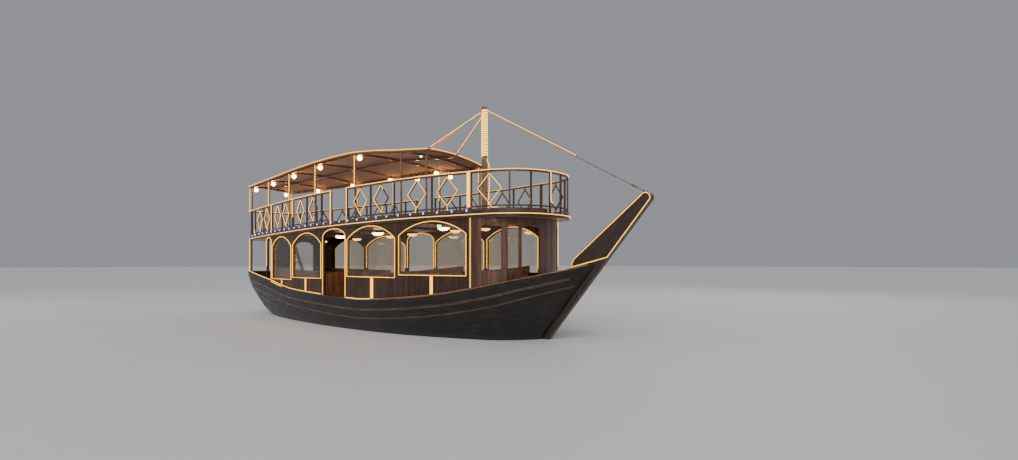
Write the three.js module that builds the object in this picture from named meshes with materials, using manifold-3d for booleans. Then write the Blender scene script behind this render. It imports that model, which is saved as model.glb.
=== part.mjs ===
// A two-deck dinner-cruise dhow outlined in rope lights: millimetres, +X to the bow,
// +Y to port, +Z up, origin on the centreline at the waterline, amidships.
import * as THREE from 'three';
import { mergeVertices } from 'three/addons/utils/BufferGeometryUtils.js';
import Module from 'manifold-3d';

const wasm = await Module();
wasm.setup();

// driving dimensions
const gap = 0.3;
const wallThickness = 60;
const bulwarkThickness = 70;
const deckMargin = 105;
const keelHalfWidth = 75;
const keelBottom = -1150;
const slab = { above: 40, below: 80, overhang: 40 };
const rail = { top: 1150, foot: 230, section: 50, inset: 30 };
const canopyThickness = 30;
const canopyCamber = 90;
const mastSpot = { x: 3370, foot: 3410, head: 6700, radius: 88 };

// half-breadth of the cabin and of both decks' edges, from the stern to the round front
const planTable = [
  [-8800, 950], [-7100, 1250], [-5100, 1550], [-3100, 1790], [-1100, 1930], [400, 1975],
  [1560, 1976], [2900, 1857], [4100, 1660], [4500, 1614], [4820, 1557], [5090, 1467],
  [5330, 1344], [5540, 1191], [5700, 1007], [5830, 793], [5920, 547], [5970, 260],
];
// hull: half-breadth at the rail (null follows the cabin), rail height, deck height,
// underside at the keel, and how full the section is
const hullTable = [
  { x: -8800, half: null, rail: 1735, deck: 1050, bottom: 250, full: 1.9 },
  { x: -8000, half: null, rail: 1632, deck: 1045, bottom: -80, full: 1.9 },
  { x: -7400, half: null, rail: 1556, deck: 1035, bottom: -283, full: 1.9 },
  { x: -6800, half: null, rail: 1480, deck: 1025, bottom: -450, full: 1.95 },
  { x: -6200, half: null, rail: 1408, deck: 1013, bottom: -597, full: 2.0 },
  { x: -5650, half: null, rail: 1315, deck: 1001, bottom: -690, full: 2.08 },
  { x: -5100, half: null, rail: 1228, deck: 990, bottom: -765, full: 2.15 },
  { x: -4500, half: null, rail: 1152, deck: 977, bottom: -820, full: 2.22 },
  { x: -3900, half: null, rail: 1106, deck: 965, bottom: -865, full: 2.3 },
  { x: -2600, half: null, rail: 1044, deck: 935, bottom: -920, full: 2.45 },
  { x: -1300, half: null, rail: 980, deck: 910, bottom: -945, full: 2.55 },
  { x: 0, half: null, rail: 950, deck: 900, bottom: -950, full: 2.6 },
  { x: 1000, half: null, rail: 990, deck: 930, bottom: -950, full: 2.5 },
  { x: 2000, half: null, rail: 1065, deck: 980, bottom: -950, full: 2.3 },
  { x: 3000, half: null, rail: 1165, deck: 1050, bottom: -950, full: 2.05 },
  { x: 3800, half: null, rail: 1280, deck: 1130, bottom: -950, full: 1.85 },
  { x: 4400, half: null, rail: 1385, deck: 1200, bottom: -930, full: 1.7 },
  { x: 4800, half: 1635, rail: 1465, deck: 1255, bottom: -820, full: 1.6 },
  { x: 5150, half: 1535, rail: 1540, deck: 1305, bottom: -450, full: 1.5 },
  { x: 5530, half: 1380, rail: 1625, deck: 1365, bottom: 0, full: 1.42 },
  { x: 5900, half: 1190, rail: 1705, deck: 1425, bottom: 439, full: 1.36 },
  { x: 6250, half: 970, rail: 1790, deck: 1480, bottom: 854, full: 1.3 },
  { x: 6600, half: 700, rail: 1870, deck: 1535, bottom: 1269, full: 1.24 },
  { x: 6900, half: 430, rail: 1960, deck: 1580, bottom: 1625, full: 1.2 },
  { x: 7240, half: 76, rail: 2075, deck: 1640, bottom: 2028, full: 1.2 },
];
// canopy: half-breadth, height of the starboard eave, and how much lower the port eave hangs
const canopyTable = [
  { x: -9000, half: 930, eave: 5247, lean: 120 }, { x: -7900, half: 1110, eave: 5288, lean: 120 },
  { x: -6800, half: 1290, eave: 5322, lean: 120 }, { x: -5700, half: 1465, eave: 5362, lean: 120 },
  { x: -4800, half: 1590, eave: 5412, lean: 120 }, { x: -3800, half: 1715, eave: 5454, lean: 130 },
  { x: -2850, half: 1812, eave: 5496, lean: 130 }, { x: -1600, half: 1900, eave: 5531, lean: 120 },
  { x: -450, half: 1950, eave: 5544, lean: 120 }, { x: 400, half: 1870, eave: 5508, lean: 140 },
  { x: 1400, half: 1600, eave: 5456, lean: 180 }, { x: 2180, half: 1200, eave: 5462, lean: 220 },
];
// bays of the cabin's side, from pillar to pillar; sill null is an opening down to the deck
const bays = [
  { name: 'arch', panel: 'aft', from: -6900, to: -6300, open: [-6800, -6360], sill: null, spring: 2860, top: 3045 },
  { name: 'window_1', panel: 'aft', from: -6300, to: -4440, open: [-6235, -4535], sill: 1510, spring: 2680, top: 3035, round: true },
  { name: 'window_2', panel: 'aft', from: -4440, to: -2220, open: [-4345, -2301], sill: 1590, spring: 2725, top: 3098, round: true },
  { name: 'door', panel: 'aft', from: -2220, to: -755, open: [-2138, -824], sill: null, spring: 2880, top: 3170 },
  { name: 'window_3', panel: 'fore', from: -755, to: 1720, open: [-683, 1617], sill: 1680, spring: 2808, top: 3188, round: true },
  { name: 'window_4', panel: 'fore', from: 1720, to: 4250, open: [1825, 4169], sill: 1763, spring: 2868, top: 3228, round: true },
];
const pilasters = [
  { bay: 'window_1', at: -5336 }, { bay: 'window_2', at: -3375 },
  { bay: 'window_3', at: 561 }, { bay: 'window_4', at: 3007 },
];
// the round front stands back under the deck's edge: where that starts, and what share of the reach is left
const frontRecess = { from: 4450, share: 0.68 };
// openings of the round front, by the half-breadths they reach from and to
const frontOpenings = [
  { name: 'corner', from: 1572, to: 1286, sill: 1870, spring: 2990, top: 3170, glass: true },
  { name: 'slim', from: 1150, to: 850, sill: 1870, spring: 3020, top: 3130, glass: true },
  { name: 'door', from: 775, to: 100, sill: null, spring: 2960, top: 3090, glass: false },
];
const diamonds = { width: { aft: 600, fore: 690 }, low: 280, high: 1060, bar: 28 };
const diamondSpots = { aft: [-7660, -6880, -5780, -5040, -3800, -2880], fore: [-35, 984, 2483, 3552] };
const railPosts = {
  aft: [-8750, -8270, -7270, -6380, -5410, -4410, -3340, -2300, -1700],
  fore: [-765, 470, 1560, 3018, 4258],
};
const canopyPosts = [-8840, -6900, -4900, -2850, -450, 1400, 2110];
const globeSpots = [-8840, -6900, -4900, -2850, -450];

// colours and finishes
const blackPaint = { color: 0x17120f, roughness: 0.45, metalness: 0 };
const darkWood = { color: 0x3a2114, roughness: 0.55, metalness: 0 };
const teak = { color: 0x7a4524, roughness: 0.5, metalness: 0 };
const bronze = { color: 0x8a6a3a, roughness: 0.35, metalness: 0.9 };
const cloth = { color: 0xa2572a, roughness: 0.9, metalness: 0 };
const glazing = { color: 0x2b2118, roughness: 0.08, metalness: 0, transparent: true, opacity: 0.35 };
const steel = { color: 0x9a9a98, roughness: 0.35, metalness: 0.9 };

const part = new THREE.Group();
part.name = 'dhow';

function smooth(points, x) {
  const last = points.length - 1;
  if (x <= points[0][0]) return points[0][1];
  if (x >= points[last][0]) return points[last][1];
  const i = points.findIndex((p) => p[0] > x) - 1;
  const slope = (k) => {
    const a = points[Math.max(k - 1, 0)];
    const b = points[Math.min(k + 1, last)];
    return (b[1] - a[1]) / (b[0] - a[0]);
  };
  const [p, q] = [points[i], points[i + 1]];
  const h = q[0] - p[0];
  const t = (x - p[0]) / h;
  return p[1] * (1 + 2 * t) * (1 - t) ** 2 + q[1] * t * t * (3 - 2 * t)
    + slope(i) * h * t * (1 - t) ** 2 - slope(i + 1) * h * t * t * (1 - t);
}

const columnOf = (rows, key) => rows.map((row) => [row.x, row[key]]);
const straight = (rows, key, x) => {
  const above = rows.findIndex((row) => row.x > x);
  const i = above < 0 ? rows.length - 1 : Math.max(above, 1);
  const [p, q] = [rows[i - 1], rows[i]];
  return p[key] + (q[key] - p[key]) * (x - p.x) / (q.x - p.x);
};
const plan = (x) => smooth(planTable, x);
hullTable.filter((row) => row.half === null).forEach((row) => { row.half = plan(row.x) + deckMargin; });
const upperDeck = (x) => {
  const u = (x + 9100) / 1000;
  return 3068 + 39.2 * u - 1.18 * u * u;
};

// a closed body through rings of points, the same number in each
function loft(rings) {
  const count = rings[0].length;
  const positions = rings.flat(2);
  const index = [];
  for (let i = 0; i + 1 < rings.length; i += 1) {
    for (let j = 0; j < count; j += 1) {
      const a = i * count + j;
      const b = i * count + (j + 1) % count;
      index.push(a, b, b + count, a, b + count, a + count);
    }
  }
  const flat = (ring) => {
    const spread = (k) => Math.max(...ring.map((p) => p[k])) - Math.min(...ring.map((p) => p[k]));
    const drop = [0, 1, 2].sort((a, b) => spread(a) - spread(b))[0];
    const keep = [0, 1, 2].filter((k) => k !== drop);
    const outline = ring.map((p) => new THREE.Vector2(p[keep[0]], p[keep[1]]));
    const clockwise = THREE.ShapeUtils.isClockWise(outline);
    const order = outline.map((p, k) => k);
    if (clockwise) order.reverse();
    const faces = THREE.ShapeUtils.triangulateShape(order.map((k) => outline[k]), []);
    return faces.map((face) => {
      const turned = face.map((k) => order[k]);
      return clockwise ? turned.reverse() : turned;
    });
  };
  const start = flat(rings[0]);
  const end = flat(rings[rings.length - 1]);
  const base = (rings.length - 1) * count;
  start.forEach(([a, b, c]) => index.push(c, b, a));
  end.forEach(([a, b, c]) => index.push(base + a, base + b, base + c));
  const geometry = new THREE.BufferGeometry();
  geometry.setAttribute('position', new THREE.Float32BufferAttribute(positions, 3));
  geometry.setIndex(index);
  return geometry;
}

function solid(geometry) {
  const bare = new THREE.BufferGeometry();
  bare.setAttribute('position', geometry.getAttribute('position'));
  bare.setIndex(geometry.getIndex());
  const merged = mergeVertices(bare, 1e-3);
  const points = Float32Array.from(merged.getAttribute('position').array);
  let faces = Uint32Array.from(merged.getIndex().array);
  let volume = 0;
  for (let i = 0; i < faces.length; i += 3) {
    const [a, b, c] = [0, 1, 2].map((k) => new THREE.Vector3().fromArray(points, faces[i + k] * 3));
    volume += a.dot(b.cross(c));
  }
  if (volume < 0) {
    faces = faces.reverse();
  }
  return new wasm.Manifold(new wasm.Mesh({ numProp: 3, vertProperties: points, triVerts: faces }));
}

const toPort = (body) => body.mirror([0, 1, 0]);
const bothSides = (body) => {
  const half = body.trimByPlane([0, -1, 0], 0);
  return half.add(toPort(half));
};
const union = (pieces) => pieces.reduce((whole, piece) => whole.add(piece));
const cut = (body, tools) => tools.reduce((rest, tool) => rest.subtract(tool), body);

function box(size, centre, turn = null) {
  const geometry = new THREE.BoxGeometry(...size);
  if (turn) geometry.applyMatrix4(turn);
  geometry.translate(...centre);
  return solid(geometry);
}

// a bar of the given width and height from point to point, its height kept upright
function bar(from, to, width, height) {
  const a = new THREE.Vector3(...from);
  const b = new THREE.Vector3(...to);
  const along = b.clone().sub(a).normalize();
  const up = Math.abs(along.z) > 0.99 ? new THREE.Vector3(1, 0, 0) : new THREE.Vector3(0, 0, 1);
  const side = new THREE.Vector3().crossVectors(up, along).normalize();
  const over = new THREE.Vector3().crossVectors(along, side);
  const geometry = new THREE.BoxGeometry(a.distanceTo(b), width, height);
  geometry.applyMatrix4(new THREE.Matrix4().makeBasis(along, side, over));
  geometry.translate(...a.add(b).multiplyScalar(0.5).toArray());
  return solid(geometry);
}

function rod(from, to, radius, endRadius = radius, sides = 10) {
  const a = new THREE.Vector3(...from);
  const b = new THREE.Vector3(...to);
  const geometry = new THREE.CylinderGeometry(endRadius, radius, a.distanceTo(b), sides);
  const turn = new THREE.Quaternion().setFromUnitVectors(
    new THREE.Vector3(0, 1, 0), b.clone().sub(a).normalize(),
  );
  geometry.applyQuaternion(turn);
  geometry.translate(...a.add(b).multiplyScalar(0.5).toArray());
  return solid(geometry);
}

// a flat plate from an outline of [x, z] points, centred on the middle plane
function plate(outline, thickness, holes = []) {
  const shape = new THREE.Shape(outline.map((p) => new THREE.Vector2(p[0], p[1])));
  holes.forEach((hole) => shape.holes.push(new THREE.Path(hole.map((p) => new THREE.Vector2(p[0], p[1])))));
  const geometry = new THREE.ExtrudeGeometry(shape, { depth: thickness, bevelEnabled: false });
  geometry.translate(0, 0, -thickness / 2);
  geometry.rotateX(Math.PI / 2);
  return solid(geometry);
}

function addNode(name, body, finish) {
  const mesh = body.getMesh();
  const geometry = new THREE.BufferGeometry();
  geometry.setAttribute('position', new THREE.Float32BufferAttribute(mesh.vertProperties, 3));
  geometry.setIndex(new THREE.Uint32BufferAttribute(mesh.triVerts, 1));
  geometry.computeVertexNormals();
  const node = new THREE.Mesh(geometry, new THREE.MeshStandardMaterial(finish));
  node.name = name;
  part.add(node);
}

function addPair(name, body, finish) {
  addNode(name.replace('side', 'starboard'), body, finish);
  addNode(name.replace('side', 'port'), toPort(body), finish);
}

// hull: planked shell taken as solid, decked, with the bulwarks standing round the deck
const ringSteps = 10;
const transom = { rake: 0.26, thickness: 80 };
function hullRing(row, index) {
  const side = [];
  for (let k = 0; k <= ringSteps; k += 1) {
    const t = (k / ringSteps) * Math.PI / 2;
    const y = keelHalfWidth + (row.half - keelHalfWidth) * Math.sin(t) ** (2 / row.full);
    const z = row.rail - (row.rail - row.bottom) * Math.max(Math.cos(t), 0) ** (2 / row.full);
    side.push([y, k === ringSteps ? row.rail : z]);
  }
  const rake = index === 0 ? transom.rake : 0;
  const place = ([y, z]) => [row.x + rake * (row.rail - z), y, z];
  return [...side.map(place), ...side.map(([y, z]) => [-y, z]).reverse().map(place)];
}
const wellRows = hullTable.filter((row) => row.x > -8800 && row.x < 6700);
wellRows.unshift({ ...hullTable[0], x: hullTable[0].x + transom.thickness });
const sideAt = (row, z) => {
  const cosine = ((row.rail - z) / (row.rail - row.bottom)) ** (row.full / 2);
  return keelHalfWidth + (row.half - keelHalfWidth) * Math.sqrt(1 - cosine * cosine) ** (2 / row.full);
};
const wellRing = (row, index) => {
  const rake = index === 0 ? transom.rake : 0;
  const low = sideAt(row, row.deck) - bulwarkThickness;
  const middle = sideAt(row, (row.deck + row.rail) / 2) - bulwarkThickness;
  const high = row.half - bulwarkThickness;
  const half = [[low, row.deck], [middle, (row.deck + row.rail) / 2], [high, row.rail], [high, 2400]];
  return [...half, ...half.map(([y, z]) => [-y, z]).reverse()].map(([y, z]) => [row.x + rake * (row.rail - z), y, z]);
};
const rudderAxis = { x: -7900, stock: 38 };
let hull = solid(loft(hullTable.map(hullRing)));
hull = bothSides(hull.subtract(solid(loft(wellRows.map(wellRing)))));
hull = hull.subtract(rod([rudderAxis.x, 0, -600], [rudderAxis.x, 0, 260], rudderAxis.stock + 1.2, rudderAxis.stock + 1.2, 16));
addNode('hull', hull, blackPaint);
const deckLayer = solid(loft(wellRows.map((row) => {
  const half = row.half + 200;
  const high = row.deck + gap;
  return [[row.x, -half, -500], [row.x, half, -500], [row.x, half, high], [row.x, -half, high]];
})));
const deckCutters = [[0, 0, gap], [0, gap, 0], [0, -gap, 0], [gap, 0, 0], [-gap, 0, 0]]
  .map((shift) => hull.translate(shift)).concat(deckLayer);

// keel with its deadwood, propeller aperture, sternpost and rudder heel in one plate
const shaftLine = { z: -650, aperture: [-7560, -7060], propeller: -7310 };
const keelTop = hullTable.filter((row) => row.x > -7860 && row.x <= 4400)
  .map((row) => [row.x, row.bottom - gap]);
const keelOutline = [
  [-7860, straight(hullTable, 'bottom', -7860) - gap], ...keelTop, [4400, keelBottom],
  [-8250, keelBottom], [-8250, keelBottom + 70], [-7780, keelBottom + 90], [-7830, -420],
];
const apertureOutline = [
  [-7600, -1070], [-7060, -1070], [-7060, -420], [-7120, -390], [-7560, -330], [-7640, -420],
];
let keel = plate(keelOutline, 2 * keelHalfWidth, [apertureOutline]);
keel = keel.subtract(hull.translate([0, 0, -gap]));
keel = keel.add(rod([-7060, 0, shaftLine.z], [-7090, 0, shaftLine.z], 62, 52, 16).add(
  rod([-7050, 0, shaftLine.z], [-7061, 0, shaftLine.z], 62, 62, 16)));
keel = keel.subtract(rod([-7200, 0, shaftLine.z], [-6900, 0, shaftLine.z], 25.8, 25.8, 16));
keel = keel.subtract(rod([rudderAxis.x, 0, keelBottom - 10], [rudderAxis.x, 0, keelBottom + 120], 25.8, 25.8, 16));
addNode('keel', keel, blackPaint);

// raked stem with its broad head board
const stemOutline = [
  [4400 + gap, keelBottom], [4620, keelBottom], [4860, -1000], [5740, 0], [7600, 2210], [8780, 3610],
  [8800, 3690], [8760, 3780], [8680, 3830], [8590, 3825], [8540, 3790], [6570, 2220], [6470, 2000],
  [6470, 1400], [5900, 700], [5300, 0], [4700, -600], [4400 + gap, -700],
];
let stem = plate(stemOutline, 2 * keelHalfWidth - 10);
stem = cut(stem, [hull, hull.translate([gap, 0, 0]), hull.translate([0, 0, gap]), hull.translate([0, 0, -gap])]);
const forestayEnd = [8560, 0, 3850];
const pieces = stem.decompose().sort((a, b) => b.volume() - a.volume());
stem = pieces[0];

// rudder on its stock, with the pintle in the keel's heel
let rudder = plate([
  [-7862, keelBottom + 110], [-7862, -330], [-7990, -300], [-8420, -380], [-8480, -620], [-8440, keelBottom + 110],
], 60);
rudder = rudder.add(rod([rudderAxis.x, 0, keelBottom + 96], [rudderAxis.x, 0, 250], rudderAxis.stock, rudderAxis.stock, 16));
rudder = rudder.add(rod([rudderAxis.x, 0, keelBottom + 5], [rudderAxis.x, 0, keelBottom + 100], 25, 25, 16));
addNode('rudder', rudder, darkWood);

// three-bladed propeller with its shaft end
const bladeOutline = new THREE.Shape();
bladeOutline.moveTo(-35, 30);
bladeOutline.bezierCurveTo(-95, 120, -90, 230, -20, 262);
bladeOutline.bezierCurveTo(70, 262, 95, 150, 35, 30);
let propeller = rod([-7400, 0, shaftLine.z], [-7190, 0, shaftLine.z], 42, 60, 20);
propeller = propeller.add(rod([-7195, 0, shaftLine.z], [-6920, 0, shaftLine.z], 25, 25, 16));
for (let blade = 0; blade < 3; blade += 1) {
  const geometry = new THREE.ExtrudeGeometry(bladeOutline, { depth: 14, bevelEnabled: false, curveSegments: 6 });
  geometry.translate(0, 0, -7);
  geometry.rotateY(0.95);
  geometry.applyMatrix4(new THREE.Matrix4().makeBasis(
    new THREE.Vector3(0, 1, 0), new THREE.Vector3(0, 0, 1), new THREE.Vector3(1, 0, 0),
  ));
  geometry.rotateX((blade / 3) * Math.PI * 2);
  geometry.translate(shaftLine.propeller, 0, shaftLine.z);
  propeller = propeller.add(solid(geometry));
}
addNode('propeller', propeller, bronze);

// upper deck: a slab that follows the gentle rise, on beams, with a hatch over the stair
const hatch = { x: [-8450, -7300], y: [80, 780] };
const slabStops = planTable.map((row) => row[0]).concat([-8000, -6100, -4100, -2100, -400, 1000, 2200, 3500]).sort((a, b) => a - b);
const slabLayer = (low, high, spread = 0) => solid(loft(slabStops.map((x) => {
  const half = (x > 5900 ? plan(x) * 1.1 + 20 : plan(x) + slab.overhang) + spread;
  const z = upperDeck(x);
  const at = x > 5960 ? x + 40 + spread : x;
  return [[at, -half, z + low], [at, half, z + low], [at, half, z + high], [at, -half, z + high]];
})));
const slabBody = slabLayer(-slab.below, slab.above);
const hatchHole = box([hatch.x[1] - hatch.x[0], hatch.y[1] - hatch.y[0], 900],
  [(hatch.x[0] + hatch.x[1]) / 2, (hatch.y[0] + hatch.y[1]) / 2, 3100]);
const beams = [-5650, -3470, -1550, 440, 2400, 4000];
const lampSpots = [-5400, -3900, -2850, -1750, -850, 100, 1550, 2150];
let upper = slabBody.subtract(hatchHole);
beams.forEach((x) => {
  const half = plan(x) - wallThickness - 110;
  upper = upper.add(box([70, 2 * half, 70], [x, 0, upperDeck(x) - slab.below - 30]));
});
lampSpots.forEach((x) => {
  const z = upperDeck(x) - slab.below;
  upper = upper.add(rod([x, 0, z + 10], [x, 0, z - 45], 120, 150, 16));
});
addNode('upper_deck', upper, darkWood);
const ceilingCutter = slabLayer(-slab.below - gap, 2000, 100);

// cabin sides: flat bays from pillar to pillar, each with its arched opening and raised surround
function frameBetween(from, to) {
  const a = new THREE.Vector3(...from, 0);
  const b = new THREE.Vector3(...to, 0);
  const along = b.clone().sub(a).normalize();
  const out = new THREE.Vector3(along.y, -along.x, 0);
  const matrix = new THREE.Matrix4().makeBasis(along, new THREE.Vector3(0, 0, 1), out);
  matrix.setPosition(a);
  return { matrix, along, out, start: a, length: a.distanceTo(b) };
}
const bayFrame = (from, to) => frameBetween([from, -plan(from)], [to, -plan(to)]);
function archPoints(opening, grow = 0) {
  const { left, right, sill, spring, top, round } = opening;
  const bare = (right - left) / 2;
  const half = bare + grow;
  const rise = top - spring;
  const middle = (left + right) / 2;
  const radius = (bare * bare + rise * rise) / (2 * rise);
  const reach = Math.asin(half / (radius + grow));
  const points = [[middle - half, sill - grow], [middle + half, sill - grow]];
  const steps = 12;
  for (let k = 0; k <= steps; k += 1) {
    const angle = (k / steps) * Math.PI;
    if (round) {
      const turn = reach * (1 - (2 * k) / steps);
      points.push([middle + (radius + grow) * Math.sin(turn), top - radius + (radius + grow) * Math.cos(turn)]);
    } else {
      const lift = Math.sin(angle) ** 0.8;
      points.push([middle + half * Math.cos(angle), spring + (rise + grow) * lift]);
    }
  }
  return points;
}
function slabFrom(points, matrix, near, far, holes = []) {
  const shape = new THREE.Shape(points.map((p) => new THREE.Vector2(p[0], p[1])));
  holes.forEach((hole) => shape.holes.push(new THREE.Path(hole.map((p) => new THREE.Vector2(p[0], p[1])))));
  const geometry = new THREE.ExtrudeGeometry(shape, { depth: far - near, bevelEnabled: false });
  geometry.translate(0, 0, near);
  geometry.applyMatrix4(matrix);
  return solid(geometry);
}
function openingOf(bay) {
  const frame = bayFrame(bay.from, bay.to);
  const scale = frame.length / (bay.to - bay.from);
  const [left, right] = bay.open.map((x) => (x - bay.from) * scale);
  const foot = straight(hullTable, 'deck', (bay.from + bay.to) / 2);
  return { ...bay, frame, left, right, sill: bay.sill === null ? foot - 80 : bay.sill };
}
const surround = { width: 46, proud: 17 };
const normalAt = (path, i) => {
  const a = path[Math.max(i - 1, 0)];
  const b = path[Math.min(i + 1, path.length - 1)];
  const length = Math.hypot(b[0] - a[0], b[1] - a[1]);
  return [(b[1] - a[1]) / length, -(b[0] - a[0]) / length];
};
// the plain wall through a row of bays, run past both ends to be trimmed square
function wallRun(row) {
  const path = [row[0].from, ...row.map((bay) => bay.to)].map((x) => [x, -plan(x)]);
  const past = ([ax, ay], [bx, by]) => {
    const share = 30 / Math.hypot(bx - ax, by - ay);
    return [ax - (bx - ax) * share, ay - (by - ay) * share];
  };
  const last = path.length - 1;
  path[0] = past(path[0], path[1]);
  path[last] = past(path[last], path[last - 1]);
  return solid(loft(path.map(([x, y], i) => {
    const [nx, ny] = normalAt(path, i);
    const [ix, iy] = [x - nx * wallThickness, y - ny * wallThickness];
    const [low, high] = [straight(hullTable, 'deck', x) - 60, upperDeck(x) - 40];
    return [[x, y, low], [x, y, high], [ix, iy, high], [ix, iy, low]];
  })));
}
function dressBay(wall, bay) {
  const opening = openingOf(bay);
  const { frame, sill } = opening;
  const low = Math.min(...[bay.from, bay.to].map((x) => straight(hullTable, 'deck', x))) - 60;
  const ring = slabFrom(archPoints(opening, surround.width), frame.matrix, -20, surround.proud);
  let body = wall.add(ring);
  pilasters.filter((row) => row.bay === bay.name).forEach((row) => {
    const s = (row.at - bay.from) * frame.length / (bay.to - bay.from);
    body = body.add(slabFrom([[s - 70, low], [s + 70, low], [s + 70, sill], [s - 70, sill]], frame.matrix, -20, surround.proud));
  });
  return body.subtract(slabFrom(archPoints(opening), frame.matrix, -300, 300));
}

// low boarding gates stand open inside the cabin; closed, they bar the arched doorway
const leaf = { thickness: 40, reach: 16, clear: 6, foot: 945, heel: 1730, crown: 1790 };
const doorBay = bays.find((bay) => bay.name === 'door');
const doorway = openingOf(doorBay);
const hingeHeights = [1130, 1560];
const doorLeaves = [];
const doorLugs = [];
['aft', 'fore'].forEach((end) => {
  const mirrorSign = end === 'aft' ? 1 : -1;
  const jamb = end === 'aft' ? doorway.left : doorway.right;
  const local = new THREE.Matrix4().makeTranslation(jamb + mirrorSign * leaf.clear, 0, -wallThickness - leaf.reach);
  const world = doorway.frame.matrix.clone().multiply(local);
  const flip = new THREE.Matrix4().makeScale(mirrorSign, 1, 1);
  const width = (doorway.right - doorway.left) / 2 - 2 * leaf.clear;
  const outline = [[0, leaf.foot], [width, leaf.foot]];
  for (let k = 8; k >= 0; k -= 1) {
    outline.push([width * k / 8, leaf.heel + (leaf.crown - leaf.heel) * Math.sin((k / 8) * Math.PI / 2)]);
  }
  const shape = new THREE.Shape(outline.map((p) => new THREE.Vector2(p[0], p[1])));
  const geometry = new THREE.ExtrudeGeometry(shape, { depth: leaf.thickness, bevelEnabled: false });
  geometry.translate(0, 0, leaf.reach);
  let body = solid(geometry);
  const lugs = [];
  hingeHeights.forEach((z) => {
    body = body.add(box([16, 60, 22], [4, z, 11]));
    const barrel = rod([0, z - 30, 0], [0, z + 30, 0], 12, 12, 8);
    body = body.add(barrel);
    body = body.subtract(rod([0, z - 40, 0], [0, z + 10, 0], 6.8, 6.8, 8));
    const strap = box([70, 30, 20], [-27, z - 46, 0]).add(box([40, 30, 30], [-50, z - 46, 12]));
    lugs.push(strap.add(rod([0, z - 60, 0], [0, z - 2, 0], 6, 6, 8)));
  });
  const place = (m, turn) => {
    const matrix = world.clone();
    if (turn) matrix.multiply(flip).multiply(new THREE.Matrix4().makeRotationY(turn));
    else matrix.multiply(flip);
    return m.transform(matrix.toArray());
  };
  doorLeaves.push({ end, body: place(body, Math.PI / 2), world });
  lugs.forEach((lug) => doorLugs.push(place(lug, 0)));
});

const sidePanels = {};
['aft', 'fore'].forEach((name) => {
  const row = bays.filter((bay) => bay.panel === name);
  let body = row.reduce(dressBay, wallRun(row));
  if (name === 'aft') doorLugs.forEach((lug) => { body = body.add(lug); });
  sidePanels[name] = cut(body, [...deckCutters, ceilingCutter]);
});
const cabinFront = bays[bays.length - 1].to;
const endTrim = (from, to) => box([to - from, 6000, 6000], [(from + to) / 2, 0, 2500]);
sidePanels.aft = sidePanels.aft.intersect(endTrim(bays[0].from, doorBay.to - gap));
sidePanels.fore = sidePanels.fore.intersect(endTrim(doorBay.to, cabinFront - gap));
addPair('wall_side_aft', sidePanels.aft, darkWood);
addPair('wall_side_fore', sidePanels.fore, darkWood);
doorLeaves.forEach(({ end, body }) => addPair(`door_side_${end}`, body, teak));

// panes in the four big windows of each side
bays.filter((bay) => bay.sill !== null).forEach((bay) => {
  const opening = openingOf(bay);
  const pane = slabFrom(archPoints(opening, -gap), opening.frame.matrix, -36, -28);
  addPair(`glass_side_${bay.name.slice(-1)}`, pane, glazing);
});

// round front of the cabin, between the corner pillars
const frontStops = planTable.map((row) => row[0]).filter((x) => x > cabinFront && x < 5980);
const frontX = (x) => frontRecess.from + (x - frontRecess.from) * (x < frontRecess.from ? 1 : frontRecess.share);
const frontLine = [cabinFront, ...frontStops].map((x) => [frontX(x), -plan(x)]);
frontLine.push([frontX(5975), -90]);
const frontAt = (half) => {
  const i = frontLine.findIndex(([, y]) => -y <= half);
  const [[ax, ay], [bx, by]] = [frontLine[i - 1], frontLine[i]];
  return [ax + (bx - ax) * (-half - ay) / (by - ay), -half];
};
const frontPath = [...frontLine, ...frontLine.map(([x, y]) => [x, -y]).reverse()];
const frontRings = frontPath.map(([x, y], i) => {
  const [nx, ny] = normalAt(frontPath, i);
  const [ix, iy] = [x - nx * wallThickness, y - ny * wallThickness];
  return [[x, y, 900], [x, y, 3400], [ix, iy, 3400], [ix, iy, 900]];
});
let front = solid(loft(frontRings));
const pillar = box([130, 110, 2600], [4325, -plan(4325) + 42, 2200]);
front = front.add(pillar).add(toPort(pillar));
const frontPanes = [];
frontOpenings.forEach((row) => {
  const frame = frameBetween(frontAt(row.from), frontAt(row.to));
  const opening = { ...row, left: 0, right: frame.length, sill: row.sill === null ? 1200 : row.sill };
  const tool = slabFrom(archPoints(opening), frame.matrix, -250, 250);
  // the way out to the foredeck is on the starboard side only
  front = cut(front, row.glass ? [tool, toPort(tool)] : [tool]);
  if (row.glass) {
    frontPanes.push([row.name, slabFrom(archPoints(opening, -gap), frame.matrix, -28, -20)]);
  }
});
front = cut(front, [...deckCutters, ceilingCutter]);
front = front.intersect(box([3000, 6000, 6000], [cabinFront + 1500, 0, 2500]));
addNode('wall_front', front, teak);
frontPanes.forEach(([name, pane]) => addPair(`glass_side_${name}`, pane, glazing));

// wall across the cabin's aft end, with its doorway
const sternWallAt = -6297;
const sternHalf = plan(sternWallAt - 30) - wallThickness - 4;
let sternWall = box([50, 2 * sternHalf, 2300], [sternWallAt, 0, 2150]);
const sternDoor = archPoints({ left: -400, right: 400, sill: 900, spring: 2700, top: 2920 }).map(([y, z]) => new THREE.Vector2(y, z));
const sternTool = new THREE.ExtrudeGeometry(new THREE.Shape(sternDoor), { depth: 400, bevelEnabled: false });
sternTool.rotateX(Math.PI / 2);
sternTool.rotateZ(Math.PI / 2);
sternTool.translate(sternWallAt - 200, 0, 0);
sternWall = sternWall.subtract(solid(sternTool));
sternWall = cut(sternWall, [...deckCutters, ceilingCutter, sidePanels.aft.translate([0, gap, 0]), toPort(sidePanels.aft).translate([0, -gap, 0])]);
addNode('wall_stern', sternWall, darkWood);

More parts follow.
